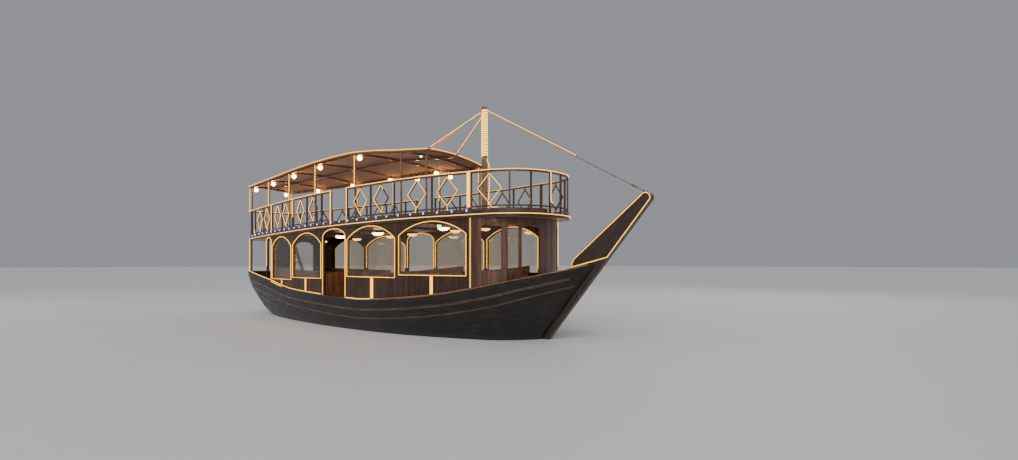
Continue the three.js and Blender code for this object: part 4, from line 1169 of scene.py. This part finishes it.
def makeCabinRopes():
    paths = []
    grow = rope["roundOpening"]
    for name, (start, end, *others) in bays.items():
        opening = openingOf(name)
        aft, fore, sill = opening["left"] - grow, opening["right"] + grow, opening["sill"]
        line = archLine(opening, grow)
        if sill is None:
            foot = railAt((start + end) / 2) + cabinRopes["doorFoot"]
            line = [(fore, foot)] + line + [(aft, cabinRopes["archFoot"] if name == "arch" else foot)]
        else:
            low = sill - grow
            middle = (opening["left"] + opening["right"]) / 2
            line = [(middle, low), (fore, low)] + line + [(aft, low), (middle + 0.002, low)]
        paths.append([wallPoint(opening, s, rope["onWall"], z) for s, z in line])
        if name in cabinRopes["pilasters"]:
            x, count = cabinRopes["pilasters"][name]
            foot = railAt(x) + cabinRopes["stripFoot"]
            rise = steps(foot, sill - cabinRopes["underSill"], rope["pitch"])
            for k in range(count):
                s = (x - start) * opening["scale"] + (k - (count - 1) / 2) * cabinRopes["apart"]
                paths.append([wallPoint(opening, s, rope["onWall"], z) for z in rise])
    x, out, over, under = cabinRopes["corner"]
    rise = steps(railAt(x) + over, upperDeck(x) - under, rope["pitch"])
    paths.append([onSide(x + 0.002, out, z) for z in rise])
    x, out, place, over, under = cabinRopes["stern"]
    paths.append(upright(x, -plan(deck["aft"]) - out, railAt(place) + over, upperDeck(place) - under))
    bothRopes("rope_lights_cabin", paths)
    front = newShape()
    x, half, low, under = cabinRopes["front"]
    addTube(front, upright(x, half, low, upperDeck(x) - under), rope["radius"])
    makePiece("rope_lights_front", front, "warmRope")
    inside = newShape()
    low, out = cabinRopes["insideFoot"], cabinRopes["insideOut"]
    for name in cabinRopes["inside"]:
        opening = openingOf(name)
        line = [(opening["right"] + grow, low), *archLine(opening, grow), (opening["left"] - grow, low)]
        addTube(inside, [wallPoint(opening, s, out, z) for s, z in line], rope["radius"])
    makePiece("rope_lights_inside", reflected(inside), "warmRope")


hullRopes = {
    # from, to; a second rope hangs under the first near the stern
    "lit": [(-8.72, -2.165), (-0.72, 0.58)], "dim": (0.6, 4.28), "second": (-6.12, -5.16),
    "out": 0.091, "up": 0.036, "secondOut": 0.116, "secondUp": -0.012, "pitch": 0.16,
}


def makeHullRopes():
    def run(start, end, out, up):
        return [onSide(x, out, railAt(x) + up) for x in steps(start, end, hullRopes["pitch"])]

    out, up = hullRopes["out"], hullRopes["up"]
    lit = [run(*ends, out, up) for ends in hullRopes["lit"]]
    lit.append(run(*hullRopes["second"], hullRopes["secondOut"], hullRopes["secondUp"]))
    bothRopes("rope_lights_hull_rail", lit)
    bothRopes("rope_lights_hull_dim", [run(*hullRopes["dim"], out, up)], "dimRope")


stemRope = {
    # round each side of the stem head, starboard
    "out": 0.080,
    "line": [
        (6.60, 2.20), (7.2, 2.678), (7.9, 3.236), (8.50, 3.72), (8.56, 3.775), (8.61, 3.797), (8.67, 3.797),
        (8.735, 3.757), (8.768, 3.69), (8.755, 3.63), (8.3, 3.085), (7.9, 2.61), (7.585, 2.232),
        (7.2, 2.14), (6.8, 2.045), (6.50, 1.975), (6.545, 2.11),
    ],
}


def makeStemRopes():
    shape = newShape()
    path = [(x, -stemRope["out"], z) for x, z in stemRope["line"]]
    addTube(shape, path, rope["radius"], closed=True)
    mirrored(shape)
    makePiece("rope_lights_stem", shape, "warmRope")


mastRope = {
    "turns": 21, "eachTurn": 18, "low": 5.24, "high": 6.64, "start": 1.2, "apart": 0.0215,
    # down from the coil's foot to the deck
    "foot": [
        (3.52, -0.05, 5.12), (3.58, -0.05, 5.0), (3.60, -0.05, 4.9), (3.60, -0.05, 4.4), (3.57, -0.05, 3.9),
        (3.55, -0.05, 3.51),
    ],
}


def makeMastRopes():
    coil = []
    count = mastRope["turns"] * mastRope["eachTurn"]
    for k in range(count + 1):
        t = k / count
        z = mastRope["low"] + (mastRope["high"] - mastRope["low"]) * t
        radius = mastRadius(z) + rope["radius"]
        angle = 2 * math.pi * mastRope["turns"] * t + mastRope["start"]
        coil.append(Vector((mast["x"] + radius * math.cos(angle), radius * math.sin(angle), z)))
    twin = [p + Vector((0, 0, mastRope["apart"])) for p in coil]
    foot = [coil[0] + Vector((0.02, -0.02, -0.05))] + mastRope["foot"]
    shape = newShape()
    addRopes(shape, [foot[::-1] + coil, twin])
    makePiece("rope_lights_mast", shape, "coilRope")


stayRopes = {
    # which stay, how far beside it, and the share of its length from the mast
    "pair": ("side", (0.0, -0.018, 0.018), 1.0),
    "single": [("fore", (0, 0, 0.026), 0.614), ("middle", (0.008, -0.022, 0.008), 1.0)],
    "red": {"radius": 0.008, "out": 0.02, "above": 0.034, "sinks": 0.068},
}


def besideStay(name, shift, share=1.0):
    a, b = (Vector(end) for end in stays[name])
    return [a.lerp(b, share * k / 24) + Vector(shift) for k in range(25)]


def makeStayRopes():
    shape = newShape()
    addTube(shape, besideStay(*stayRopes["pair"]), rope["fine"])
    mirrored(shape)
    addRopes(shape, [besideStay(*row) for row in stayRopes["single"]], rope["fine"])
    makePiece("rope_lights_stays", shape, "warmRope")
    row = stayRopes["red"]
    line = besideStay("side", (0, row["out"], row["above"]))
    red = newShape()
    addTube(red, [p - Vector((0, 0, row["sinks"] * k / 24)) for k, p in enumerate(line)], row["radius"])
    makePiece("red_rope_stay", red, "redRope")


makeCanopyRopes()
makeRailRopes()
makeDiamondRopes()
bothRopes("rope_lights_deck_edge", [roundPath(deck["aft"], rope["onDeck"], upperDeck)])
makeCabinRopes()
makeHullRopes()
makeStemRopes()
makeMastRopes()
makeStayRopes()
print("rope lights are strung")

# toe board on the deck edge, with small blue lamps along it

toe = {
    "from": -8.78, "height": 0.105, "thick": 0.022, "out": 0.012, "ease": 0.006, "lampHeight": 0.11,
    # lamps stand closer together aft: from, to, pitch
    "lampRuns": [(-8.52, -2.11, 0.4275), (-1.64, 4.21, 0.4875)],
    # turned forms of a lamp and its rim: distance outward, radius
    "lamp": [(0.004, 0.029), (0.014, 0.027), (0.023, 0.018), (0.026, 0.005)],
    "rim": [(0.0, 0.036), (0.008, 0.036), (0.011, 0.032), (0.011, 0.024)],
}


def makeToeBoard():
    rings = []
    for x in steps(toe["from"], deck["sideEnd"], 0.3) + deck["front"]:
        n = sideNormal(x)
        base = Vector((x, -plan(x), upperDeck(x) + deck["boards"])) + n * toe["out"]
        inner = base - n * toe["thick"]
        up = Vector((0, 0, toe["height"]))
        drop, ease = Vector((0, 0, -toe["ease"])), n * toe["ease"]
        rings.append([base, base + up + drop, base + up - ease, inner + up + ease, inner + up + drop, inner])
    shape = newShape()
    addSweep(shape, rings)
    mirrored(shape)
    makePiece("toe_board", shape, "railTimber")
    lamps, rims = newShape(), newShape()
    for run in toe["lampRuns"]:
        for x in steps(*run):
            n = sideNormal(x)
            spot = Vector((x, -plan(x), upperDeck(x) + toe["lampHeight"])) + n * toe["out"]
            addTurned(rims, toe["rim"], spot, n, 16)
            addTurned(lamps, toe["lamp"], spot, n, 14)
    mirrored(lamps)
    mirrored(rims)
    makePiece("deck_edge_lamps", lamps, "blueLed")
    makePiece("deck_edge_lamp_rims", rims, "fitting")


makeToeBoard()

# globe lamps under the canopy, ceiling lamps in the cabin

globes = {
    # ribs carry one on each side; two more hang from the port eave beam, as low as given
    "ribs": canopyPosts[:5], "inside": 0.17, "drop": 0.145, "beam": {-1.6: 0.21, 0.15: 0.25},
    "radius": 0.076,
}
greenLamps = {
    # under the canopy and under the cabin's lining, with the first one's cap
    "canopy": (1.28, -0.64, 0.012), "cabin": (1.8, -0.35),
    "canopyGlass": [(-0.02, 0.034), (-0.06, 0.036), (-0.085, 0.028), (-0.095, 0.01)],
    "canopyCap": [(0.0, 0.05), (-0.02, 0.05), (-0.03, 0.036)],
    "cabinGlass": [(0.0, 0.06), (-0.04, 0.07), (-0.075, 0.05), (-0.09, 0.02)],
}


def liningAt(x):
    return upperDeck(x) - 0.08


def globeProfile(r):
    angles = [math.pi * k / 12.6 for k in range(1, 12)]
    return [(-0.995 * r, 0.1 * r)] + [(-r * math.cos(a), r * math.sin(a)) for a in angles]


def bowlProfile(r):
    # a shallow glass bowl, rim first
    angles = [math.pi / 2 * k / 8.6 for k in range(1, 9)]
    bowl = [(-0.006 - 0.46 * r * math.sin(a), r * math.cos(a)) for a in angles]
    return [(0.0, r * 0.96), (-0.006, r)] + bowl


def makeGlobes():
    glass, holders = newShape(), newShape()
    r = globes["radius"]
    spots = []
    for x in globes["ribs"]:
        half = postSpot(x) - globes["inside"]
        spots += [(x, -half, globes["drop"]), (x, half, globes["drop"])]
    spots += [(x, postSpot(x), drop) for x, drop in globes["beam"].items()]
    for x, y, drop in spots:
        centre = Vector((x, y, canopyUnder(x, y) - drop))
        addTurned(glass, globeProfile(r), centre, sides=24)
        holder = [(r * 0.84, 0.040), (r * 0.97, 0.043), (r + 0.012, 0.036), (r + 0.02, 0.021),
                  (drop - 0.085, 0.021), (drop - 0.08, 0.034), (drop - 0.072, 0.034)]
        addTurned(holders, holder, centre, sides=18)
    makePiece("globe_lamps", glass, "globeGlass")
    makePiece("globe_holders", holders, "fitting")
    x, y, below = greenLamps["canopy"]
    spot = (x, y, canopyUnder(x, y) - below)
    green, cap = newShape(), newShape()
    addTurned(green, greenLamps["canopyGlass"], spot, sides=16)
    addTurned(cap, greenLamps["canopyCap"], spot, sides=16)
    makePiece("green_lamp", green, "greenLens")
    makePiece("green_lamp_cap", cap, "fitting")


ceilingLamps = {
    # place: glass, how far it hangs under the lining, radius
    -5.0: ("amberLens", 0.20, 0.15), -3.86: ("whiteLens", 0.07, 0.19), -2.86: ("amberLens", 0.22, 0.16),
    -1.65: ("whiteLens", 0.07, 0.20), -0.97: ("amberLens", 0.22, 0.16), 0.16: ("amberLens", 0.20, 0.17),
    1.63: ("whiteLens", 0.07, 0.19), 2.16: ("amberLens", 0.18, 0.17), 3.4: ("amberLens", 0.18, 0.15),
}


def makeCeilingLamps():
    caps = newShape()
    glass = {"whiteLens": newShape(), "amberLens": newShape()}
    for x, (finish, hang, r) in ceilingLamps.items():
        rim = (x, 0, liningAt(x) - hang)
        addTurned(glass[finish], bowlProfile(r), rim, sides=28)
        cap = [(0.002, r * 0.3), (0.002, r * 1.03), (0.022, r * 0.92), (0.034, 0.05), (0.045, 0.012),
               (hang - 0.03, 0.012), (hang - 0.025, 0.05), (hang - 0.004, 0.055)]
        addTurned(caps, cap, rim, sides=28)
    for finish, shape in glass.items():
        makePiece(f"ceiling_{finish}", shape, finish)
    makePiece("ceiling_lamp_caps", caps, "fitting")
    green = newShape()
    x, y = greenLamps["cabin"]
    addTurned(green, greenLamps["cabinGlass"], (x, y, liningAt(x)), sides=16)
    makePiece("ceiling_green_lamp", green, "greenLens")


makeGlobes()
makeCeilingLamps()
print("lamps are lit")

# hull trim: cap rail on the bulwark and rubbing strakes on the side

hullTrim = {
    "cap": 0.026, "capWidth": 0.084, "capRuns": [(-8.79, -2.17), (-0.7, 7.12)], "ease": 0.008,
    # the transom's cap, from its aft to its fore edge
    "transom": (-8.8, -8.716),
    # strakes: how far below the rail, and how tall
    "strakes": [(0.30, 0.07), (0.56, 0.05)], "strakeRun": (-8.3, 6.7, 0.2), "proud": 0.014,
    # a strake's section: shares of its height and of how proud it stands
    "section": [(-0.5, -0.01), (-0.5, 0.6), (-0.3, 1.0), (0.3, 1.0), (0.5, 0.6), (0.5, -0.01)],
    # the rail's half-breadth: how far outside the plan, then rows from the bow's shoulder on
    "beyondPlan": 0.105, "shoulder": 4.4,
    "bow": [
        (4.8, 1.635), (5.15, 1.535), (5.53, 1.38), (5.9, 1.19), (6.25, 0.97), (6.6, 0.7), (6.9, 0.43),
        (7.24, 0.076),
    ],
}
hullSurface = BVHTree.FromObject(nodes["hull"], bpy.context.evaluated_depsgraph_get())


def hullHalf(x):
    shoulder = hullTrim["shoulder"]
    side = [(place, plan(place) + hullTrim["beyondPlan"]) for place, height in hullRail if place <= shoulder]
    return straight(side if x <= shoulder else side[-1:] + hullTrim["bow"], x)


def makeCapRail():
    shape = newShape()
    up, ease = Vector((0, 0, hullTrim["cap"])), hullTrim["ease"]
    for start, end in hullTrim["capRuns"]:
        rings = []
        inside = [row[0] for row in hullRail if start < row[0] < end]
        for x in [start, *inside, end]:
            d = (hullHalf(x + 0.05) - hullHalf(x - 0.05)) / 0.1
            n = Vector((-d, -1, 0)).normalized()
            outer = Vector((x, -hullHalf(x), railAt(x)))
            inner = outer - n * hullTrim["capWidth"]
            inner.y = min(inner.y, -0.08)
            rings.append([outer, outer + up * 0.7, outer + up - n * ease,
                          inner + up + n * ease, inner + up * 0.7, inner])
        addSweep(shape, rings)
    # the transom's cap fits between those of the sides
    aft, fore = hullTrim["transom"]
    low, high, cap = railAt(aft), railAt(fore), hullTrim["cap"]
    section = [(aft, low), (aft, low + cap - ease), (aft + ease, low + cap),
               (fore - ease, high + cap), (fore, high + cap - ease), (fore, high)]
    addSweep(shape, [[(x, y, z) for x, z in section] for y in (hullTrim["capWidth"] - hullHalf(aft), 0.0)])
    mirrored(shape)
    makePiece("bulwark_cap", shape, "teakAlong")


def strakeRing(x, z, tall):
    # the section on the hull's side, or nothing where the hull ends
    ring = []
    for share, out in hullTrim["section"]:
        outside = Vector((x, -6, z + tall * share))
        hit, normal, index, distance = hullSurface.ray_cast(outside, Vector((0, 1, 0)))
        if hit is None:
            return None
        ring.append(hit + Vector((normal.x, normal.y, 0)).normalized() * hullTrim["proud"] * out)
    return ring


def makeStrakes():
    shape = newShape()
    for below, tall in hullTrim["strakes"]:
        rings = []
        for x in steps(*hullTrim["strakeRun"]):
            # they draw nearer to the rail at the bow
            nearer = 0.25 * max(x - 5, 0) / 1.7
            rings.append(strakeRing(x, railAt(x) - below * (1 - nearer), tall))
        addSweep(shape, [ring for ring in rings if ring])
    mirrored(shape)
    makePiece("rubbing_strakes", shape, "railTimber")


makeCapRail()
makeStrakes()
print("hull trim is fitted")

# window beads just inside the openings, holding the panes

bead = {
    "wide": 0.022,
    # section: share of the width, and how far outward
    "section": [(0, -0.026), (0, -0.008), (0.8, -0.008), (1, -0.012), (1, -0.026)],
}


def makeBeads():
    shape = newShape()
    wide = bead["wide"]
    for name in bays:
        opening = openingOf(name)
        left, right, sill, top = (opening[key] for key in ("left", "right", "sill", "top"))
        if sill is None:
            continue
        centre = Vector(((left + right) / 2, (sill + top) / 2))
        rings = []
        for s, z in [(right, sill), *archLine(opening, 0.0), (left, sill)]:
            toward = (centre - Vector((s, z))).normalized() * wide
            if z < opening["spring"] + 0.01:
                toward = Vector((math.copysign(wide, centre.x - s), wide if z < sill + 0.01 else 0))
            ring = []
            for share, out in bead["section"]:
                p = Vector((s, z)) + toward * share
                ring.append(wallPoint(opening, p.x, out, p.y))
            rings.append(ring)
        addSweep(shape, rings, closed=True)
    mirrored(shape)
    makePiece("window_beads", shape, "teakUpright")


makeBeads()

# fielded panels, strap hinges and ring pulls on the low gates

gate = {
    # hinge from the jamb, leaf from the wall's line, and the open leaf's two faces
    "hinge": 0.006, "reach": 0.076, "faces": [(0.016, -1), (0.056, 1)], "width": 0.645,
    # boards on each face: from and to along the leaf, from and to in height, bevel
    "boards": [
        (0.06, 0.595, 1.01, 1.075, 0.004), (0.06, 0.595, 1.60, 1.665, 0.004),
        (0.06, 0.12, 1.075, 1.60, 0.004), (0.535, 0.595, 1.075, 1.60, 0.004),
        (0.16, 0.495, 1.115, 1.56, 0.006),
    ],
    "boardOut": 0.007, "boardIn": 0.004,
    "straps": [1.13, 1.56], "strapRun": (0.015, 0.27), "strapHalf": 0.02, "strapThick": 0.012,
    "bolts": [0.09, 0.16, 0.23], "boltForm": [(-0.002, 0.009), (0.003, 0.009), (0.006, 0.004)],
    # the ring pulls: place along the leaf, height, form of the hub, ring's radius and its place from the hub
    "pull": (0.565, 1.42), "hub": [(0.005, 0.026), (0.011, 0.024), (0.016, 0.010), (0.022, 0.008)],
    "ring": {"radius": 0.026, "below": 0.022, "out": 0.019, "thick": 0.0035, "count": 20},
}
doorway = openingOf("door")


def gatePoint(end, out, deep, z):
    # a point beside an open leaf: along the wall from the hinge, inward from it, and up
    sign = 1 if end == "aft" else -1
    jamb = doorway["left" if end == "aft" else "right"] + sign * gate["hinge"]
    return wallPoint(doorway, jamb + sign * out, -gate["reach"] - deep, z)


def gateBlock(shape, end, out, deep, z, bevel):
    # a block between two values each along the wall, inward and up
    near, far = gatePoint(end, out[0], deep[0], z[0]), gatePoint(end, out[1], deep[1], z[1])
    across = gatePoint(end, out[1], deep[0], z[0]) - near
    inward = gatePoint(end, out[0], deep[1], z[0]) - near
    axes = [across.normalized(), inward.normalized(), Vector((0, 0, 1))]
    if axes[0].cross(axes[1]).z < 0:
        axes[0] = -axes[0]
    addBlock(shape, (near + far) / 2, (across.length, inward.length, z[1] - z[0]), axes, bevel)


def gateTimber(end):
    shape = newShape()
    for face, side in gate["faces"]:
        outer, inner = face + side * gate["boardOut"], face - side * gate["boardIn"]
        for start, stop, low, high, bevel in gate["boards"]:
            gateBlock(shape, end, (min(outer, inner), max(outer, inner)), (start, stop), (low, high), bevel)
    return shape


def gateIrons(end):
    shape = newShape()
    face = gate["faces"][0][0]
    outer = face - gate["strapThick"]
    half = gate["strapHalf"]
    for z in gate["straps"]:
        gateBlock(shape, end, (outer, face), gate["strapRun"], (z - half, z + half), 0.003)
        for deep in gate["bolts"]:
            head = gatePoint(end, outer, deep, z)
            axis = gatePoint(end, -1, deep, z) - gatePoint(end, 0, deep, z)
            addTurned(shape, gate["boltForm"], head, axis, 10)
    deep, z = gate["pull"]
    pull = gate["ring"]
    for face, side in gate["faces"]:
        axis = gatePoint(end, face + side, 0, z) - gatePoint(end, face, 0, z)
        addTurned(shape, gate["hub"], gatePoint(end, face, deep, z), axis, 16)
        ring = []
        for k in range(pull["count"]):
            angle = 2 * math.pi * k / pull["count"]
            along, rise = pull["radius"] * math.sin(angle), pull["radius"] * math.cos(angle)
            ring.append(gatePoint(end, face + side * pull["out"], deep + along, z - pull["below"] + rise))
        addTube(shape, ring, pull["thick"], 6, closed=True)
    return shape


def makeGates():
    for end in ("aft", "fore"):
        timber, metal = gateTimber(end), gateIrons(end)
        for side in ("starboard", "port"):
            if side == "port":
                timber, metal = reflected(timber), reflected(metal)
            body = f"door_{side}_{end}"
            makePiece(f"{body}_panels", timber, "doorTimber", body)
            makePiece(f"{body}_irons", metal, "fitting", body)


makeGates()
print("doors are dressed")

# small fittings: post feet, mast bands, stay screws and rudder straps

fittings = {
    "postFoot": 0.062, "bolt": 0.0065,
    "mastBands": [6.44, 6.585, 5.19],
    # a band's section: height from its middle, distance from the mast's surface
    "band": [
        (-0.022, -0.004), (-0.022, 0.003), (-0.018, 0.006), (0.018, 0.006), (0.022, 0.003), (0.022, -0.004),
    ],
    # where each stay's screw sits, as a share of its length, and the screw's turned form
    "screwSpots": {"side": 0.9, "middle": 0.88, "fore": 0.955},
    "screw": [
        (-0.10, 0.012), (-0.096, 0.018), (-0.07, 0.018), (-0.066, 0.024), (0.066, 0.024), (0.07, 0.018),
        (0.096, 0.018), (0.10, 0.012),
    ],
}


def makePostFeet():
    shape = newShape()
    radius, bolt = fittings["postFoot"], fittings["bolt"]
    form = [(0.0, radius), (0.006, radius), (0.010, radius - 0.004), (0.011, 0.036), (0.034, 0.034),
            (0.040, 0.029)]
    boltForm = [(0.009, bolt), (0.016, bolt), (0.018, bolt * 0.6)]
    for x in canopyPosts:
        for sign in (-1, 1):
            foot = Vector((x, sign * postSpot(x), upperDeck(x) + deck["boards"]))
            addTurned(shape, form, foot, sides=24)
            for k in range(4):
                angle = math.pi / 2 * (k + 0.5)
                spot = foot + Vector((math.cos(angle), math.sin(angle), 0)) * (radius - 0.015)
                addTurned(shape, boltForm, spot, sides=6)
    makePiece("post_feet", shape, "fitting")


def makeMastBands():
    shape = newShape()
    for z in fittings["mastBands"]:
        band = [(along, mastRadius(z) + out) for along, out in fittings["band"]]
        addTurned(shape, band, (mast["x"], 0, z), sides=28)
    makePiece("mast_bands", shape, "bronze")


def makeStayScrews():
    shape = newShape()
    for name, share in fittings["screwSpots"].items():
        for sign in ((-1, 1) if name == "side" else (1,)):
            a, b = (Vector((x, y * sign, z)) for x, y, z in stays[name])
            addTurned(shape, fittings["screw"], a.lerp(b, share), b - a, 14)
    makePiece("stay_screws", shape, "bronze")


rudderStraps = {
    "heights": [-0.52, -0.86], "axis": -7.9, "centre": -8.13, "side": 0.0335, "size": (0.44, 0.007, 0.05),
    "rivets": [-8.0, -8.1, -8.2, -8.3], "rivetSide": 0.037,
    "rivet": [(0.0, 0.011), (0.004, 0.010), (0.007, 0.005)],
    "collar": [(-0.025, 0.0385), (-0.025, 0.046), (0.025, 0.046), (0.025, 0.0385)],
}


def makeRudderStraps():
    shape = newShape()
    row = rudderStraps
    for z in row["heights"]:
        for sign in (-1, 1):
            addBlock(shape, (row["centre"], sign * row["side"], z), row["size"], bevel=0.003)
            for x in row["rivets"]:
                addTurned(shape, row["rivet"], (x, sign * row["rivetSide"], z), (0, sign, 0), 10)
        addTurned(shape, row["collar"], (row["axis"], 0, z))
    makePiece("rudder_straps", shape, "bronze", "rudder")


makePostFeet()
makeMastBands()
makeStayScrews()
makeRudderStraps()
print("fittings are on")
